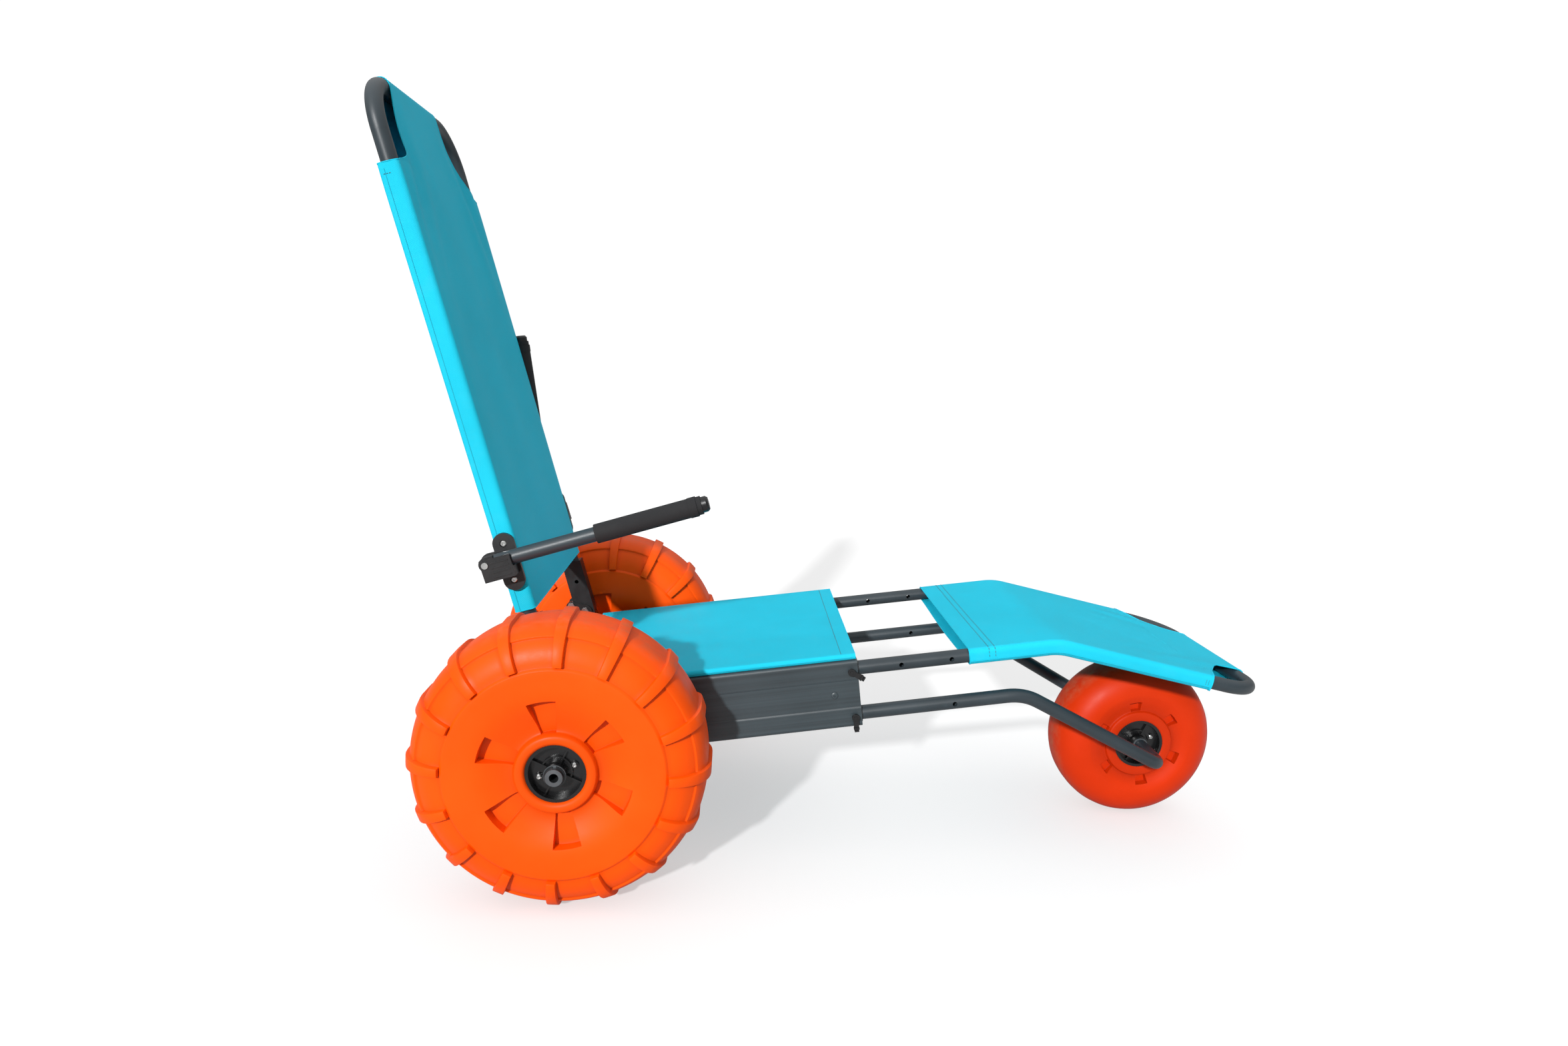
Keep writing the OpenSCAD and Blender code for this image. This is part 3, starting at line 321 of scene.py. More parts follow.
# %% Put the finishes on the CAD parts
def finish_for(node):
    if node.startswith("side_panel") or node == "cross_tube_bolts":
        return panel_coat
    if node.startswith("hinge_plates"):
        return black_plastic
    if node.startswith(("rear_hub_screws", "front_hub_screws")):
        return steel
    if "hub" in node:
        return hub_plastic
    if "bushes" in node:
        return bush_plastic
    if node.startswith("arm_grip"):
        return grip_foam
    if node in ("post_screws", "axle_clips", "axle_spacers", "rail_guides", "panel_rear_caps"):
        return black_plastic
    if node in ("rear_axle", "sling_rods", "front_axle"):
        return grey_metal
    if "bolts" in node or "screws" in node or node.startswith("arm_pin"):
        return steel
    if node.startswith(("arm_bracket", "arm_tongue", "arm_cap", "hinge_post", "lock_pin")):
        return black_plastic
    return tube_coat

for name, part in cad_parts.items():
    part.data.materials.clear()
    part.data.materials.append(finish_for(name))
print("finished", len(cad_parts), "CAD parts")

# %% [markdown]
# ## Small modelling helpers
# Everything below is modelled the way it is done by hand: add a simple shape, select some faces, inset,
# extrude or spin them, and apply the modifiers at the end.

# %% Helpers for modelling
def deselect_all():
    if bpy.context.object and bpy.context.object.mode != "OBJECT":
        bpy.ops.object.mode_set(mode="OBJECT")
    bpy.ops.object.select_all(action="DESELECT")

def pick(obj):
    deselect_all()
    obj.select_set(True)
    bpy.context.view_layer.objects.active = obj

def start_editing(obj, kind="FACE"):
    pick(obj)
    bpy.ops.object.mode_set(mode="EDIT")
    bpy.ops.mesh.select_mode(type=kind)
    bpy.ops.mesh.select_all(action="DESELECT")

def select_faces(obj, wanted):
    mesh = bmesh.from_edit_mesh(obj.data)
    chosen = [face for face in mesh.faces if wanted(face.calc_center_median())]
    for face in mesh.faces:
        face.select_set(False)
    for face in chosen:
        face.select_set(True)
    mesh.select_flush_mode()
    bmesh.update_edit_mesh(obj.data)
    return len(chosen)

def finish_mesh(obj, material, smooth_degrees=35):
    pick(obj)
    for modifier in list(obj.modifiers):
        bpy.ops.object.modifier_apply(modifier=modifier.name)
    bpy.ops.object.transform_apply(location=True, rotation=True, scale=True)
    bpy.ops.object.shade_smooth_by_angle(angle=math.radians(smooth_degrees))
    obj.data.materials.clear()
    obj.data.materials.append(material)
    return obj

print("helpers ready")

# %% [markdown]
# ## The rear wheels
# A rotationally moulded wheel is one skin turned about its axle. Its outline is drawn once, from the
# hub's seat over the raised ring, the dished face and the round shoulder to the tread, and spun about the
# axle. Two degrees and a half for each step lets nine steps hold one lug and the gap after it.

# %% Outline of the rear wheel: (distance from the axle, distance from the wheel's middle)
SHOULDER_R, SHOULDER_W = 176, 23
PANEL_REACH, TREAD_REACH, LUG_REACH = 59.8, 62.9, 68.8     # from the middle of the shoulder's round
TREAD_R = SHOULDER_R + TREAD_REACH

def on_shoulder(reach, degrees, start=(SHOULDER_R, SHOULDER_W)):
    turn = math.radians(degrees)
    return (start[0] + reach * math.cos(turn), start[1] + reach * math.sin(turn))

rear_face = [
    (47.8, 60), (47.8, 71), (48.8, 75.5), (51, 78.4), (54.5, 79.8), (60, 79.8), (63.6, 78.4), (65.6, 75.4),
    (66.6, 71.4), (68, 69), (71, 67.8), (76, 67.8), (83, 69.2), (91, 72), (99, 75.4), (107, 79), (115, 82.2),
    (125, 84.8), (133, 86), (141, 86.5), (152, 86.6), (164, 86.6), (174, 86.6), (176.4, 84.6),
]
rear_shoulder = [on_shoulder(PANEL_REACH, a) for a in (88, 81, 74, 66, 58, 50, 43.4)]
rear_shoulder += [on_shoulder(TREAD_REACH, a) for a in (41.8, 34, 26, 18, 10, 0)]
rear_half = rear_face + rear_shoulder + [(TREAD_R, 11)]
rear_outline = rear_half + [(TREAD_R, 0)] + [(r, -w) for r, w in reversed(rear_half)]
print("the rear outline has", len(rear_outline), "points")

# %% Spin an outline about an axle
STEP = 2.5               # degrees in one step of the spin
FIRST_EDGE = 88          # degrees from level to the first edge

def spin_outline(name, centre, outline):
    deselect_all()
    bpy.ops.mesh.primitive_plane_add(size=0.01, location=(0, 0, 0))
    wheel = bpy.context.object
    wheel.name = name
    bpy.ops.object.mode_set(mode="EDIT")
    bpy.ops.mesh.select_mode(type="VERT")
    bpy.ops.mesh.select_all(action="SELECT")
    bpy.ops.mesh.merge(type="CENTER")
    out = Vector((math.cos(math.radians(FIRST_EDGE)), 0, math.sin(math.radians(FIRST_EDGE))))
    points = [centre + out * (r * MM) + Vector((0, w * MM, 0)) for r, w in outline]
    bpy.ops.transform.translate(value=points[0])
    for one, two in zip(points, points[1:]):
        bpy.ops.mesh.extrude_region_move(TRANSFORM_OT_translate={"value": two - one})
    bpy.ops.mesh.select_all(action="SELECT")
    bpy.ops.mesh.spin(steps=round(360 / STEP), angle=2 * math.pi, center=centre, axis=(0, 1, 0))
    bpy.ops.mesh.select_all(action="SELECT")
    bpy.ops.mesh.remove_doubles(threshold=0.02 * MM)
    bpy.ops.mesh.normals_make_consistent(inside=False)
    bpy.ops.object.mode_set(mode="OBJECT")
    return wheel

def polar(point, centre):
    gap = point - centre
    turn = (math.degrees(math.atan2(gap.z, gap.x)) - FIRST_EDGE) % 360
    return math.hypot(gap.x, gap.z) / MM, gap.y / MM, int(turn // STEP)

rear_right_centre = Vector((rear_hub.x, -WHEEL_SIDE, rear_hub.z))
rear_wheel = spin_outline("rear_wheel_skin_right", rear_right_centre, rear_outline)
print(rear_wheel.name, "has", len(rear_wheel.data.polygons), "faces")

# %% [markdown]
# ### Lugs and pockets
# Two of every nine steps are a lug: those faces are inset and lifted over the shoulder and tread, and
# their tops are evened out so that each lug is one clean rib. Six tapered pockets are sunk in each face.

# %% Lugs over the shoulders and the tread
LUG_PITCH, LUG_STEPS = 9, 2        # in steps: one lug and its gap, and the lug alone
start_editing(rear_wheel)

def is_lug(point):
    r, w, step = polar(point, rear_right_centre)
    return (step + 1) % LUG_PITCH < LUG_STEPS and r > 178.5 and abs(w) < 84.2

count = select_faces(rear_wheel, is_lug)
bpy.ops.mesh.inset(thickness=1.0 * MM, depth=3.6 * MM, use_even_offset=True)
mesh = bmesh.from_edit_mesh(rear_wheel.data)
for vert in {v for face in mesh.faces if face.select for v in face.verts}:
    gap = vert.co - rear_right_centre
    r, w = math.hypot(gap.x, gap.z) / MM, gap.y / MM
    if abs(w) > SHOULDER_W:
        away = Vector((r - SHOULDER_R, abs(w) - SHOULDER_W)).normalized() * LUG_REACH
        new_r, new_w = SHOULDER_R + away.x, math.copysign(SHOULDER_W + away.y, w)
    else:
        new_r, new_w = SHOULDER_R + LUG_REACH, w
    vert.co = rear_right_centre + Vector((gap.x * new_r / r, new_w * MM, gap.z * new_r / r))
bmesh.update_edit_mesh(rear_wheel.data)
print("lug faces:", count)

# %% Pockets in both faces
POCKET_PITCH = 24        # in steps: six pockets in a face

def sink_pockets(wheel, centre, inner, outer, steps, floor_w, first=0, inset=1.6):
    for side in (-1, 1):
        def is_pocket(point):
            r, w, step = polar(point, centre)
            return inner < r < outer and w * side > 50 and (step - first) % POCKET_PITCH < steps
        select_faces(wheel, is_pocket)
        bpy.ops.mesh.inset(thickness=inset * MM, depth=0, use_even_offset=True)
        bpy.ops.mesh.extrude_region_move(TRANSFORM_OT_translate={"value": (0, 0, 0)})
        bpy.ops.mesh.inset(thickness=0.8 * MM, depth=0, use_even_offset=True)
        mesh = bmesh.from_edit_mesh(wheel.data)
        for vert in {v for face in mesh.faces if face.select for v in face.verts}:
            vert.co.y = centre.y + side * floor_w(polar(vert.co, centre)[0]) * MM
        bmesh.update_edit_mesh(wheel.data)

sink_pockets(rear_wheel, rear_right_centre, 66.7, 125, 9, lambda r: 60.5 + 0.10 * (r - 66), inset=1.0)
bpy.ops.object.mode_set(mode="OBJECT")
print(rear_wheel.name, "has", len(rear_wheel.data.polygons), "faces with its lugs and pockets")

# %% Soften the edges, and copy the wheel to the other side
def soften(obj, width, degrees=34, segments=2):
    bevel = obj.modifiers.new("soft edges", "BEVEL")
    bevel.width = width * MM
    bevel.segments = segments
    bevel.limit_method = "ANGLE"
    bevel.angle_limit = math.radians(degrees)
    bevel.use_clamp_overlap = True

def mark_hollow_shade(obj):
    """Every hollow corner gets a number, which the finish uses to paint shade into the hollows."""
    mesh = bmesh.new()
    mesh.from_mesh(obj.data)
    mesh.normal_update()
    found = []
    for vert in mesh.verts:
        rises = [vert.normal.dot((edge.other_vert(vert).co - vert.co).normalized()) for edge in vert.link_edges]
        found.append(max(0.0, sum(rises) / len(rises)))
    mesh.free()
    marks = obj.data.attributes.new("hollow_shade", "FLOAT", "POINT")
    for k, value in enumerate(found):
        marks.data[k].value = value

soften(rear_wheel, 1.2)
finish_mesh(rear_wheel, rear_plastic, 50)
mark_hollow_shade(rear_wheel)
pick(rear_wheel)
bpy.ops.object.duplicate(linked=False)
rear_wheel_left = bpy.context.object
rear_wheel_left.name = "rear_wheel_skin_left"
bpy.ops.transform.translate(value=(0, 2 * WHEEL_SIDE, 0))
finish_mesh(rear_wheel_left, rear_plastic_left, 50)
for wheel, side in ((rear_wheel, "right"), (rear_wheel_left, "left")):
    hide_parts(f"rear_tyre_{side}")
    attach(wheel, f"rear_wheel_{side}")
print("two rear wheels of", len(rear_wheel.data.polygons), "faces")

# %% [markdown]
# ## The front wheel
# The small wheel is made the same way, but it is smooth: a round balloon shoulder, a flat ring round the
# hub and six short slots in each face.

# %% Spin the front wheel
front_face = [
    (47.8, 50), (47.8, 58.6), (48.8, 60.6), (51, 61.8), (63, 61.8), (65.8, 61), (67.2, 58.6), (68, 56.4),
    (71, 55.6), (76, 56.4), (82, 58.4), (88.5, 61), (94, 63), (100, 64.7),
]
front_shoulder = [on_shoulder(57, a, (103, 8)) for a in (90, 80, 70, 60, 50, 40, 30, 20, 10, 0)]
front_half = front_face + front_shoulder
front_outline = front_half + [(160, 0)] + [(r, -w) for r, w in reversed(front_half)]
front_centre = Vector((front_hub.x, 0, front_hub.z))
front_wheel = spin_outline("front_wheel_skin", front_centre, front_outline)
start_editing(front_wheel)
sink_pockets(front_wheel, front_centre, 68.2, 88.5, 7, lambda r: 46, first=1, inset=0.9)
bpy.ops.object.mode_set(mode="OBJECT")
soften(front_wheel, 0.9)
finish_mesh(front_wheel, front_plastic, 50)
mark_hollow_shade(front_wheel)
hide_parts("front_tyre")
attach(front_wheel, "front_wheel")
print("the front wheel has", len(front_wheel.data.polygons), "faces")

# %% [markdown]
# ## The three slings
# The back and the leg rest each carry a flat sleeve of cloth: a front layer, a rear layer and a band down
# each side, drawn over the tube and cut away at the two end corners. The sleeve is laid out on a grid of
# rows along the tube and columns round it, so every row can follow the bend and every column the cut.

# %% A sleeve of cloth over a tube frame
def smooth_step(value, low, high):
    part = max(0.0, min(1.0, (value - low) / (high - low)))
    return part * part * (3 - 2 * part)

def between(table, value):
    for (a, one), (b, two) in zip(table, table[1:]):
        if value <= b:
            part = max(0.0, (value - a) / (b - a))
            return one + (two - one) * part
    return table[-1][1]

class Cloth:
    def __init__(self, name):
        self.mesh = bmesh.new()
        self.uv = self.mesh.loops.layers.uv.new("cloth")
        self.name = name
        self.area = 0.0

    def row(self, points):
        return [(self.mesh.verts.new(p), u, v) for p, u, v in points]

    def join(self, one, two, outward):
        for k in range(len(one) - 1):
            corners = [one[k], one[k + 1], two[k + 1], two[k]]
            verts = []
            for c in corners:
                if c[0] not in [x[0] for x in verts]:
                    verts.append(c)
            if len(verts) < 3 or self.mesh.faces.get([c[0] for c in verts]):
                continue
            face = self.mesh.faces.new([c[0] for c in verts])
            for loop, c in zip(face.loops, verts):
                loop[self.uv].uv = (c[1] * MM, c[2] * MM)
            face.normal_update()
            if face.normal.dot(outward) < 0:
                face.normal_flip()

    def make(self, axes, thickness, material):
        self.mesh.transform(axes)
        bmesh.ops.remove_doubles(self.mesh, verts=self.mesh.verts, dist=0.05 * MM)
        self.area = sum(f.calc_area() for f in self.mesh.faces)
        data = bpy.data.meshes.new(self.name)
        self.mesh.to_mesh(data)
        self.mesh.free()
        made = bpy.data.objects.new(self.name, data)
        bpy.context.scene.collection.objects.link(made)
        solid = made.modifiers.new("cloth thickness", "SOLIDIFY")
        solid.thickness = thickness * MM
        solid.offset = -1
        return finish_mesh(made, material, 60)

def column(half, k, columns):
    """Place of column k across the sleeve: the columns stand a little closer near the sides."""
    part = 2 * k / columns - 1
    return half * math.sin(math.pi / 2 * part) * 0.35 + half * part * 0.65

def sleeve(name, place, length, depth, corner, wide, cut, cut_from, ripple, rows=90, columns=56, sides=12):
    """place(s, y, h, wrap) gives the point s along, y across and h above the tube's plane."""
    cloth = Cloth(name)
    even = {round(length * k / rows, 3) for k in range(rows + 1)}
    stations = sorted(even | {cut_from} | {s for s, w in cut if s <= length})
    front, rear, right, left = [], [], [], []
    for s in stations:
        inner = min(wide, between(cut, s)) - corner if s <= cut_from else between(cut, s)
        for layer, rows_kept in ((1, front), (-1, rear)):
            line = []
            for k in range(columns + 1):
                y = column(inner, k, columns)
                line.append((place(s, y, layer * depth + ripple(s, y, layer)), y, s))
            rows_kept.append(cloth.row(line))
        if s <= cut_from:
            for sign, rows_kept in ((-1, right), (1, left)):
                line = []
                for k in range(sides + 1):
                    if k <= sides // 3:
                        turn = math.pi / 2 * k / (sides // 3)
                        y, h = inner + corner * math.sin(turn), depth - corner + corner * math.cos(turn)
                    elif k >= sides - sides // 3:
                        turn = math.pi / 2 * (sides - k) / (sides // 3)
                        y, h = inner + corner * math.sin(turn), -(depth - corner + corner * math.cos(turn))
                    else:
                        part = (k - sides // 3) / (sides - 2 * (sides // 3))
                        y, h = inner + corner, (depth - corner) * (1 - 2 * part)
                    edge = ripple(s, sign * inner, 1 if h > 0 else -1) * abs(h) / depth
                    line.append((place(s, sign * y, h + edge), sign * (inner + (depth - h)), s))
                rows_kept.append(cloth.row(line))
    for kept, out in ((front, 1), (rear, -1)):
        for one, two in zip(kept, kept[1:]):
            away = place(0, 0, 10 * out) - place(0, 0, 0)
            cloth.join(one, two, away)
    for kept, sign in ((right, -1), (left, 1)):
        for one, two in zip(kept, kept[1:]):
            cloth.join(one, two, Vector((0, sign, 0)))
    turns = 10
    last = []
    for j in range(turns + 1):
        angle = math.pi * j / turns
        half = between(cut, length)
        line = []
        for k in range(columns + 1):
            y = column(half, k, columns)
            point = place(length, y, depth * math.cos(angle), depth * math.sin(angle))
            line.append((point, y, length + depth * angle))
        last.append(cloth.row(line))
    end = (place(length, 0, 0, 10) - place(length, 0, 0)).normalized()
    for one, two in zip(last, last[1:]):
        cloth.join(one, two, end)
    return cloth

print("sleeve maker ready")

# %% [markdown]
# ### The back sling
# Seen from the side it is flat and taut. It draws in a little at the cut corners, where a few shallow
# folds run down from each cut, and it hangs very slightly slack between the side tubes.

# %% Back sling
BACK_HEM, BACK_TUBE_TOP, BACK_DEPTH = 126, 1014, 15.5
BACK_LENGTH = BACK_TUBE_TOP - BACK_HEM
BACK_WIDE, BACK_CORNER, BACK_CUT_FROM = 235.9, 7.5, 752
CLOTH_THICKNESS = 1.2
back_cut = [(0, BACK_WIDE), (BACK_CUT_FROM, BACK_WIDE), (757, 208), (763, 192), (774, 174), (789, 160),
            (804, 150), (832, 136), (864, 126), (BACK_LENGTH, 121)]

def back_place(s, y, h, wrap=0.0):
    spread = 1 + 0.20 * (1 - smooth_step(s, 700, BACK_LENGTH))
    slipped = -24 * smooth_step(s, BACK_CUT_FROM, 840) * (1 - smooth_step(abs(y), 200, 235))
    return Vector((h * spread * MM, (y + slipped) * MM, (BACK_HEM + s + wrap) * MM))

def back_ripple(s, y, layer):
    slack = -2.2 * math.sin(math.pi * s / BACK_LENGTH) * math.cos(math.pi * y / 480) ** 2
    near = math.exp(-((s - 760) / 150) ** 2) * math.exp(-((abs(y) - 165) / 62) ** 2)
    fold = near * 3.8 * math.sin((abs(y) + 0.30 * (s - 760)) / 13.5)
    long_fold = 1.7 * math.exp(-((s - 480) / 330) ** 2) * math.sin(y / 31 + s / 260)
    held = 1 - smooth_step(abs(y), 205, 228)
    return layer * (slack + (fold + long_fold) * held) * (1 - smooth_step(s, 850, BACK_LENGTH))

back_cloth = sleeve("back_sling_cloth", back_place, BACK_LENGTH, BACK_DEPTH, BACK_CORNER, BACK_WIDE,
                    back_cut, BACK_CUT_FROM, back_ripple)
back_sling = back_cloth.make(back_axes, CLOTH_THICKNESS, sling_cloth)
print("back sling:", round(back_cloth.area, 3), "square metres")

# %% [markdown]
# ### The leg sling
# The same sleeve lies over the leg rest. It follows the bend of the tubes, the underside hangs a little
# below them at the bend, and the end is cut away deeper at both corners.

# %% Leg sling
LEG_START, LEG_BEND_X, LEG_TURN, LEG_RUN, LEG_DEPTH = 699, 863, math.radians(20), 400, 14.4
LEG_BEND_R, LEG_WIDE, LEG_CORNER = 110, 234.4, 9
tangent = LEG_BEND_R * math.tan(LEG_TURN / 2)
first_run = LEG_BEND_X - LEG_START - tangent
bend_run = LEG_BEND_R * LEG_TURN
LEG_LENGTH = first_run + bend_run + LEG_RUN - tangent
cut_start = LEG_LENGTH + LEG_DEPTH - 125
leg_cut = [(0, LEG_WIDE), (cut_start, LEG_WIDE), (cut_start + 14, 196), (cut_start + 30, 168), (cut_start + 48, 138),
           (cut_start + 62, 124), (cut_start + 84, 119.5), (cut_start + 100, 118), (LEG_LENGTH, 118)]

def leg_axis(s):
    if s <= first_run:
        return LEG_START + s, 0.0, 0.0
    if s <= first_run + bend_run:
        turn = (s - first_run) / LEG_BEND_R
        return (LEG_START + first_run + LEG_BEND_R * math.sin(turn), -LEG_BEND_R * (1 - math.cos(turn)), turn)
    x = LEG_START + first_run + LEG_BEND_R * math.sin(LEG_TURN)
    z = -LEG_BEND_R * (1 - math.cos(LEG_TURN))
    run = s - first_run - bend_run
    return x + run * math.cos(LEG_TURN), z - run * math.sin(LEG_TURN), LEG_TURN

def leg_place(s, y, h, wrap=0.0):
    x, z, turn = leg_axis(s)
    return Vector(((x + h * math.sin(turn) + wrap * math.cos(turn)) * MM, y * MM,
                   (z + h * math.cos(turn) - wrap * math.sin(turn)) * MM))

def leg_ripple(s, y, layer):
    middle = math.cos(math.pi * y / 476) ** 2
    slack = -2.6 * math.sin(math.pi * s / LEG_LENGTH) * middle
    near = math.exp(-((s - cut_start) / 90) ** 2) * math.exp(-((abs(y) - 150) / 55) ** 2)
    fold = 1.6 * near * math.sin((abs(y) + 0.4 * s) / 12.0)
    held = 1 - smooth_step(abs(y), 205, 226)
    end = 1 - smooth_step(s, LEG_LENGTH - 30, LEG_LENGTH)
    if layer < 0:
        mouth = 5.0 * math.exp(-((s) / 60) ** 2) * middle
        return -(abs(slack) * 0.6 + mouth) * end + fold * held * end
    return (slack + fold * held) * end

leg_cloth = sleeve("leg_sling_cloth", leg_place, LEG_LENGTH, LEG_DEPTH, LEG_CORNER, LEG_WIDE, leg_cut,
                   round(cut_start, 3), leg_ripple, rows=80)
leg_sling = leg_cloth.make(seat_axes, CLOTH_THICKNESS, sling_cloth)
print("leg sling:", round(leg_cloth.area, 3), "square metres")

# %% [markdown]
# ### The seat sling
# The seat is a single layer. Each side is wrapped round a rod and sewn back to itself, and the rod is held in the
# top of the side panel. A line of stitches runs across near the front edge.

# %% Seat sling
SEAT_REAR, SEAT_FRONT, SEAT_HEM_Y, SEAT_HEM_Z, SEAT_HEM_R = -8, 498, 230.9, 25.7, 5.6

def seat_section(x):
    slack = -5.5 * math.sin(math.pi * (x - SEAT_REAR) / (SEAT_FRONT - SEAT_REAR)) ** 0.7
    line = []
    for k in range(7):
        line.append((-(SEAT_HEM_Y - 15 + 15 * k / 6), SEAT_HEM_Z - SEAT_HEM_R))
    for k in range(1, 13):
        turn = math.pi * k / 12
        line.append((-(SEAT_HEM_Y + SEAT_HEM_R * math.sin(turn)), SEAT_HEM_Z - SEAT_HEM_R * math.cos(turn)))
    for k in range(1, 60):
        y = -SEAT_HEM_Y + 2 * SEAT_HEM_Y * k / 60
        line.append((y, SEAT_HEM_Z + SEAT_HEM_R + slack * math.cos(math.pi * y / (2 * SEAT_HEM_Y)) ** 1.3
                     + 0.35 * math.sin(y / 17 + x / 120) * math.cos(math.pi * y / (2 * SEAT_HEM_Y))))
    line += [(-y, z) for y, z in reversed(line[:19])]
    return line

def seat_row(cloth, x):
    line, u, last = [], 0.0, None
    for y, z in seat_section(x):
        if last:
            u += math.dist(last, (y, z))
        last = (y, z)
        line.append((Vector((x * MM, y * MM, z * MM)), u - 250, x))
    return cloth.row(line)

seat_cloth = Cloth("seat_sling_cloth")
stations = [SEAT_REAR + (SEAT_FRONT - SEAT_REAR) * k / 56 for k in range(57)]
seat_rows = [seat_row(seat_cloth, x) for x in stations]
for one, two in zip(seat_rows, seat_rows[1:]):
    for k in range(len(one) - 1):
        middle = (one[k][0].co + two[k + 1][0].co) / 2
        out = middle - Vector((middle.x, 0, -1.5))
        hem = math.copysign(SEAT_HEM_Y * MM, middle.y)
        if abs(middle.y) > (SEAT_HEM_Y - 16) * MM and middle.z < (SEAT_HEM_Z + SEAT_HEM_R - 0.3) * MM:
            out = middle - Vector((middle.x, hem, SEAT_HEM_Z * MM))
            if abs(middle.y) < SEAT_HEM_Y * MM:
                out = Vector((0, 0, -1))
        seat_cloth.join([one[k], one[k + 1]], [two[k], two[k + 1]], out)
seat_sling = seat_cloth.make(seat_axes, CLOTH_THICKNESS, sling_cloth)
print("seat sling:", round(seat_cloth.area, 3), "square metres")

# %% [markdown]
# ### Hems and stitches
# The cut edges are bound with a narrow strip of the same cloth. Thread shows as short dark stitches where
# a hem is sewn down. One stitch is a tiny capsule, and each seam is one object made of many copies.

# %% Bound edges
def bound_edge(name, points, axes, radius, material=None):
    curve = bpy.data.curves.new(name, "CURVE")
    curve.dimensions = "3D"
    curve.bevel_depth = radius * MM
    curve.bevel_resolution = 2
    curve.use_fill_caps = True
    line = curve.splines.new("POLY")
    line.points.add(len(points) - 1)
    for point, where in zip(line.points, points):
        point.co = (*(axes @ where), 1)
    made = bpy.data.objects.new(name, curve)
    bpy.context.scene.collection.objects.link(made)
    pick(made)
    bpy.ops.object.convert(target="MESH")
    made = bpy.context.object
    for layer in list(made.data.uv_layers):
        made.data.uv_layers.remove(layer)
    uv = made.data.uv_layers.new(name="cloth")
    for loop in made.data.loops:
        where = made.data.vertices[loop.vertex_index].co
        uv.data[loop.index].uv = (where.y + where.x, where.z)
    return finish_mesh(made, material or sling_cloth, 60)

def even_steps(first, last, count):
    return [first + (last - first) * k / count for k in range(count + 1)]

def cut_edges(name, place, length, depth, cut, cut_from, ripple, corner, axes, radius):
    pieces = []
    for sign in (-1, 1):
        corners = sum(s > cut_from for s, w in cut)
        path = even_steps(cut_from, length, 6 * (corners + 2))
        points = []
        for s in reversed(path):
            y = sign * (between(cut, s) - (corner if s <= cut_from else 0))
            points.append(place(s, y, -depth + ripple(s, y, -1)))
        inner = between(cut, cut_from) - corner
        for k in range(1, 16):
            turn = math.pi * k / 16
            h = -depth * math.cos(turn)
            bulge = corner * math.sin(turn) ** 0.5
            points.append(place(cut_from, sign * (inner + bulge), h))
        for s in path:
            y = sign * (between(cut, s) - (corner if s <= cut_from else 0))
            points.append(place(s, y, depth + ripple(s, y, 1)))
        half = between(cut, length)
        for k in range(1, 12):
            turn = math.pi * k / 11
            points.append(place(length, sign * half, depth * math.cos(turn), depth * math.sin(turn)))
        pieces.append(bound_edge(f"{name}_{'right' if sign < 0 else 'left'}", points, axes, radius))
    return pieces

HALF_CLOTH = CLOTH_THICKNESS / 2
back_hems = cut_edges("back_sling_bound_edge", back_place, BACK_LENGTH, BACK_DEPTH - HALF_CLOTH, back_cut,
                      BACK_CUT_FROM, back_ripple, BACK_CORNER, back_axes, 1.0)
leg_hems = cut_edges("leg_sling_bound_edge", leg_place, LEG_LENGTH, LEG_DEPTH - HALF_CLOTH, leg_cut,
                     round(cut_start, 3), leg_ripple, LEG_CORNER, seat_axes, 1.4)

def mouth_edge(name, place, s, depth, corner, wide, ripple, axes, radius):
    points = []
    inner = wide - corner
    for k in range(49):
        y = -inner + 2 * inner * k / 48
        points.append(place(s, y, depth + ripple(s, y, 1)))
    for k in range(1, 12):
        turn = math.pi * k / 12
        points.append(place(s, inner + corner * math.sin(turn) ** 0.6, depth * math.cos(turn)))
    for k in range(49):
        y = inner - 2 * inner * k / 48
        points.append(place(s, y, -depth + ripple(s, y, -1)))
    for k in range(1, 13):
        turn = math.pi * k / 12
        points.append(place(s, -inner - corner * math.sin(turn) ** 0.6, -depth * math.cos(turn)))
    return bound_edge(name, points, axes, radius)

back_hems.append(mouth_edge("back_sling_lower_hem", back_place, 1, BACK_DEPTH - HALF_CLOTH, BACK_CORNER,
                            BACK_WIDE - 0.5, back_ripple, back_axes, 1.3))
leg_hems.append(mouth_edge("leg_sling_rear_hem", leg_place, 1, LEG_DEPTH - HALF_CLOTH, LEG_CORNER,
                           LEG_WIDE - 0.5, leg_ripple, seat_axes, 1.2))
print("bound edges:", len(back_hems) + len(leg_hems))

# %% Stitches
thread = Finish("sewing_thread", (0.055, 0.050, 0.060), 0.7)
thread_black = thread.use(thread.ramp(thread.noise(300), (0.03, 0.022, 0.030), (0.09, 0.06, 0.07)))

def stitches(name, points, axes, length=6.0, pitch=8.0, radius=0.42):
    """One object of small capsules along a line of points."""
    seam = bmesh.new()
    carried = pitch / 2
    for one, two in zip(points, points[1:]):
        run = (two - one).length / MM
        along = carried
        while along < run:
            heading = (two - one).normalized()
            turn = heading.to_track_quat("X", "Z").to_matrix().to_4x4()
            where = axes @ Matrix.Translation(one + heading * along * MM) @ turn
            shape = Matrix.Diagonal((length / 2 * MM, radius * MM, radius * MM * 0.8, 1))
            bmesh.ops.create_uvsphere(seam, u_segments=6, v_segments=4, radius=1.0, matrix=where @ shape)
            along += pitch
        carried = along - run
    data = bpy.data.meshes.new(name)
    seam.to_mesh(data)
    seam.free()
    made = bpy.data.objects.new(name, data)
    bpy.context.scene.collection.objects.link(made)
    return finish_mesh(made, thread_black, 80)

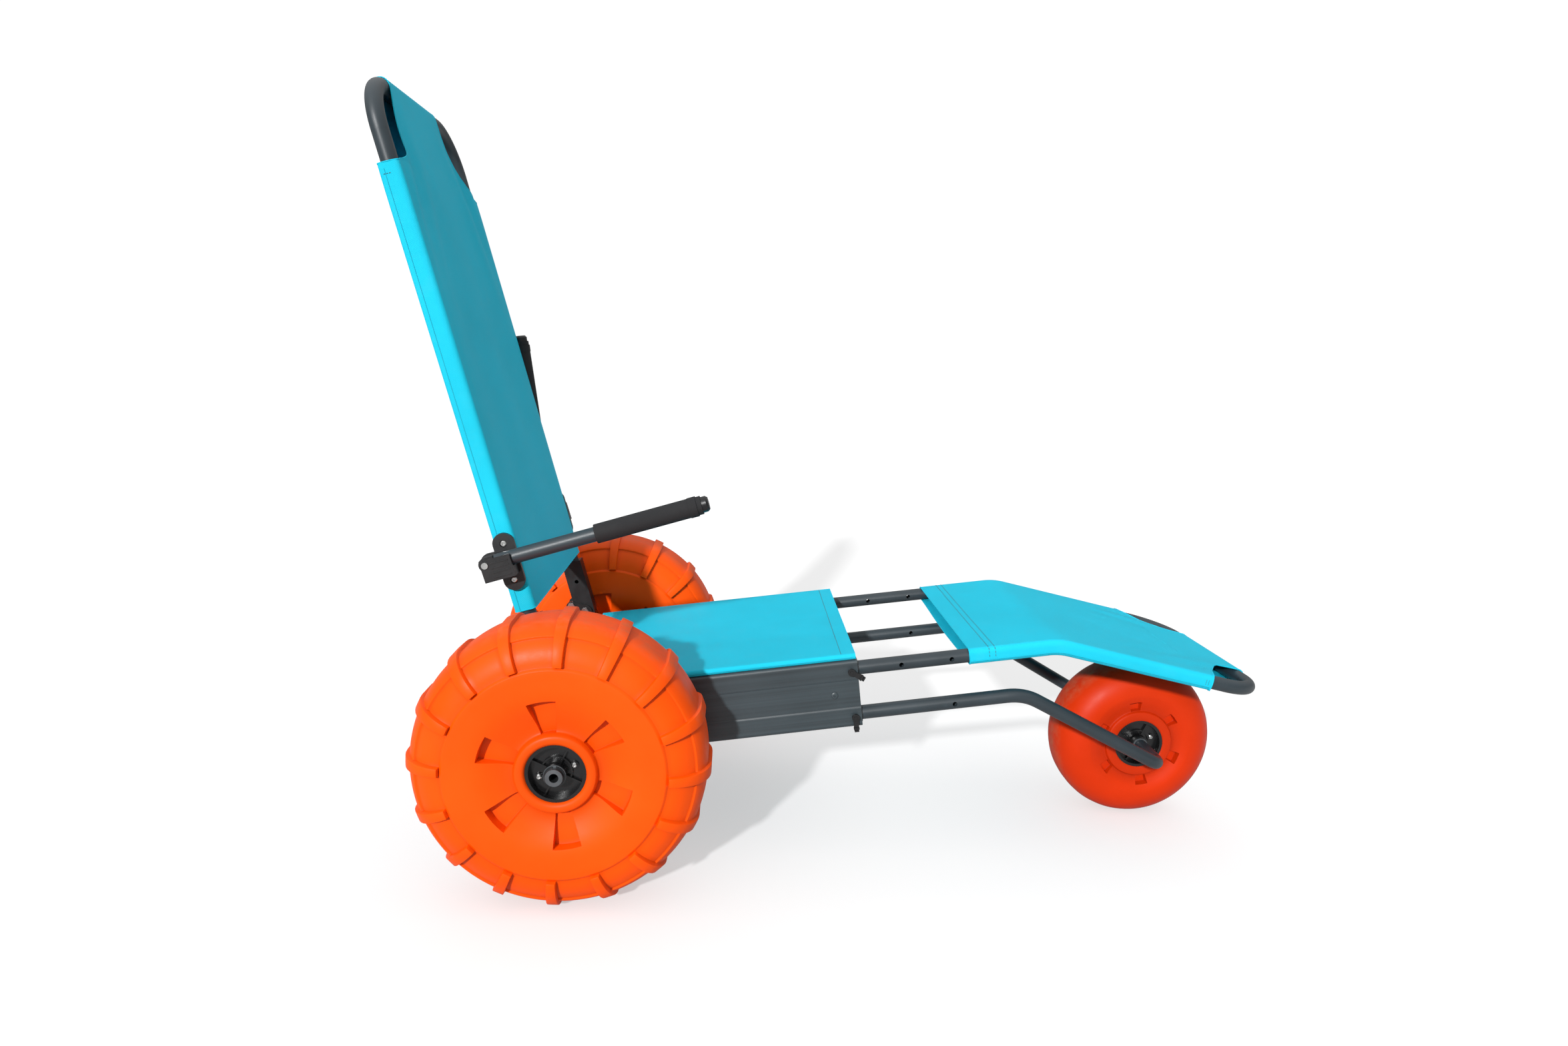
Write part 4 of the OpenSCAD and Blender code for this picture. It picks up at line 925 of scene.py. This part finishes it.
def round_the_side(place, s, depth, corner, wide, ripple, lift=0.25):
    """A line over half of the front layer and round its side, a little above the cloth."""
    inner = wide - corner
    points = []
    for k in range(61):
        y = inner * k / 60
        points.append(place(s, -y, depth + lift + ripple(s, -y, 1)))
    for k in range(1, 8):
        turn = math.pi / 2 * k / 7
        y, h = inner + (corner + lift) * math.sin(turn), depth - corner + (corner + lift) * math.cos(turn)
        points.append(place(s, -y, h))
    points.append(place(s, -(wide + lift), -(depth - corner)))
    return points

leg_seams = []
for number, s in enumerate((36, 47)):
    path = round_the_side(leg_place, s, LEG_DEPTH, LEG_CORNER, LEG_WIDE, leg_ripple)
    mirrored = [Vector((p.x, -p.y, p.z)) for p in path]
    whole = mirrored[::-1] + path[1:]
    leg_seams.append(stitches(f"leg_sling_hem_stitches_{number + 1}", whole, seat_axes, 4.8, 6.4, 0.62))
for sign, side in ((-1, "right"), (1, "left")):
    for number, s in enumerate((cut_start - 7, cut_start - 12)):
        points = [leg_place(s, sign * 234.7, 6 - 12 * k / 4) for k in range(5)]
        leg_seams.append(stitches(f"leg_sling_end_stitches_{side}_{number + 1}", points, seat_axes, 2.8, 3.6, 0.5))

back_seams = []
for sign, side in ((-1, "right"), (1, "left")):
    points = [back_place(734, sign * 236.1, -10 + 3 * k) for k in range(5)]
    back_seams.append(stitches(f"back_sling_end_stitches_{side}", points, back_axes, 3.8, 4.4, 0.7))

seat_seams = []
hem_x = SEAT_FRONT - 25
points = [Vector((hem_x * MM, y * MM, (z + 0.2) * MM)) for y, z in seat_section(hem_x)[18:79]]
seat_seams.append(stitches("seat_sling_front_stitches", points, seat_axes, 4.8, 6.4, 0.62))
print("stitched seams:", len(leg_seams) + len(back_seams) + len(seat_seams))

# %% Raised seam lines along the side bands
# The ribs wear the darker cloth: painted shade along each seam.
def seam_rib(name, points, axes, radius=0.75):
    return bound_edge(name, points, axes, radius, shaded_seam_cloth)

for sign, side in ((-1, "right"), (1, "left")):
    back_hems.append(seam_rib(f"back_sling_side_seam_{side}",
                              [back_place(s, sign * 235.6, -6.5) for s in range(2, BACK_CUT_FROM, 10)], back_axes))
    leg_hems.append(seam_rib(f"leg_sling_side_seam_{side}",
                             [leg_place(s, sign * 233.6, -8.4) for s in range(2, round(cut_start), 8)], seat_axes))
    line = [Vector((x * MM, sign * 236.2 * MM, 24.6 * MM)) for x in range(SEAT_REAR, SEAT_FRONT, 10)]
    seat_seams.append(seam_rib(f"seat_sling_side_seam_{side}", line, seat_axes, 0.6))

# %% Hang each sling piece on its body, and hide the CAD slings that are replaced
def settle(obj, body, *nodes, slot=None):
    if nodes:
        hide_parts(*nodes)
    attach(obj, body)

for piece in back_hems + back_seams:
    settle(piece, "backrest", slot="back_fabric" if "stitches" not in piece.name else None)
for piece in leg_hems + leg_seams:
    settle(piece, "leg_rest", slot="leg_fabric" if "stitches" not in piece.name else None)
for piece in seat_seams:
    settle(piece, "seat_frame")
settle(back_sling, "backrest", "back_sling", slot="back_fabric")
settle(leg_sling, "leg_rest", "leg_sling", slot="leg_fabric")
settle(seat_sling, "seat_frame", "seat_sling", slot="seat_fabric")

# The area is the modelled cloth's own, so it is not a separate measure of the cut.
print("flat areas", round(back_cloth.area, 3), round(leg_cloth.area, 3), round(seat_cloth.area, 3))

# %% [markdown]
# ## Floor, lights and camera
# The floor is plain and pale. One sun lamp, high on the near side at the rear, gives the direction, and a
# white dome that is weaker below fills the shadows. The floor and dome look brighter than they shine on the
# cart: their extra white is there for the camera's own rays only, and throws no light.

# %% Floor and world
deselect_all()
bpy.ops.mesh.primitive_plane_add(size=300, location=(0, 0, -0.0005))
floor = bpy.context.object
floor.name = "floor"
pale = Finish("pale_floor", (0.5, 0.5, 0.5), 0.95)
pale.shader.inputs["Specular IOR Level"].default_value = 0.0
pale.shader.inputs["Emission Color"].default_value = (1, 1, 1, 1)
seen = pale.node("ShaderNodeLightPath").outputs["Is Camera Ray"]
pale.link(pale.maths("MULTIPLY", seen, 0.46), pale.shader.inputs["Emission Strength"])
cloudy = pale.ramp(pale.noise(0.6), (0.495, 0.495, 0.495), (0.505, 0.505, 0.505))
floor.data.materials.append(pale.use(cloudy))

world = bpy.data.worlds.new("studio")
bpy.context.scene.world = world
world.use_nodes = True
sky = world.node_tree.nodes["Background"]
sky.inputs["Color"].default_value = (1, 1, 1, 1)
tree = world.node_tree
seen = tree.nodes.new("ShaderNodeLightPath")
where = tree.nodes.new("ShaderNodeTexCoord")
split = tree.nodes.new("ShaderNodeSeparateXYZ")
tree.links.new(where.outputs["Generated"], split.inputs["Vector"])
dome = tree.nodes.new("ShaderNodeMapRange")
dome.inputs["From Min"].default_value = 0.1
dome.inputs["To Min"].default_value = 0.20
dome.inputs["To Max"].default_value = 1.12
tree.links.new(split.outputs["Z"], dome.inputs["Value"])
level = tree.nodes.new("ShaderNodeMapRange")
level.inputs["To Max"].default_value = 1.05
tree.links.new(seen.outputs["Is Camera Ray"], level.inputs["Value"])
tree.links.new(dome.outputs["Result"], level.inputs["To Min"])
tree.links.new(level.outputs["Result"], sky.inputs["Strength"])

# %% Lights
sun = bpy.data.objects.new("sun", bpy.data.lights.new("sun", "SUN"))
bpy.context.scene.collection.objects.link(sun)
sun.data.energy = 3.7
sun.data.angle = math.radians(2.5)
sun.rotation_euler = Vector((0.42, 1.0, -0.47)).to_track_quat("-Z", "Y").to_euler()

# %% Camera
CAMERA_PLACE = (-0.19123, -1.844, 0.911)
yaw, pitch, roll = 0.055, 0.176, -0.034        # radians
forward = Vector((math.sin(yaw) * math.cos(pitch), math.cos(yaw) * math.cos(pitch), -math.sin(pitch)))
right = Vector((math.cos(yaw), -math.sin(yaw), 0))
down = forward.cross(right)
camera_x = right * math.cos(roll) + down * math.sin(roll)
camera_down = -right * math.sin(roll) + down * math.cos(roll)
camera = bpy.data.objects.new("camera", bpy.data.cameras.new("camera"))
bpy.context.scene.collection.objects.link(camera)
camera.data.lens = 22.04
camera.data.sensor_width = 36
turn = Matrix((camera_x, -camera_down, -forward)).transposed().to_4x4()
camera.matrix_world = Matrix.Translation(CAMERA_PLACE) @ turn
bpy.context.scene.camera = camera
bpy.context.scene.view_settings.view_transform = "Standard"
print("camera ready")
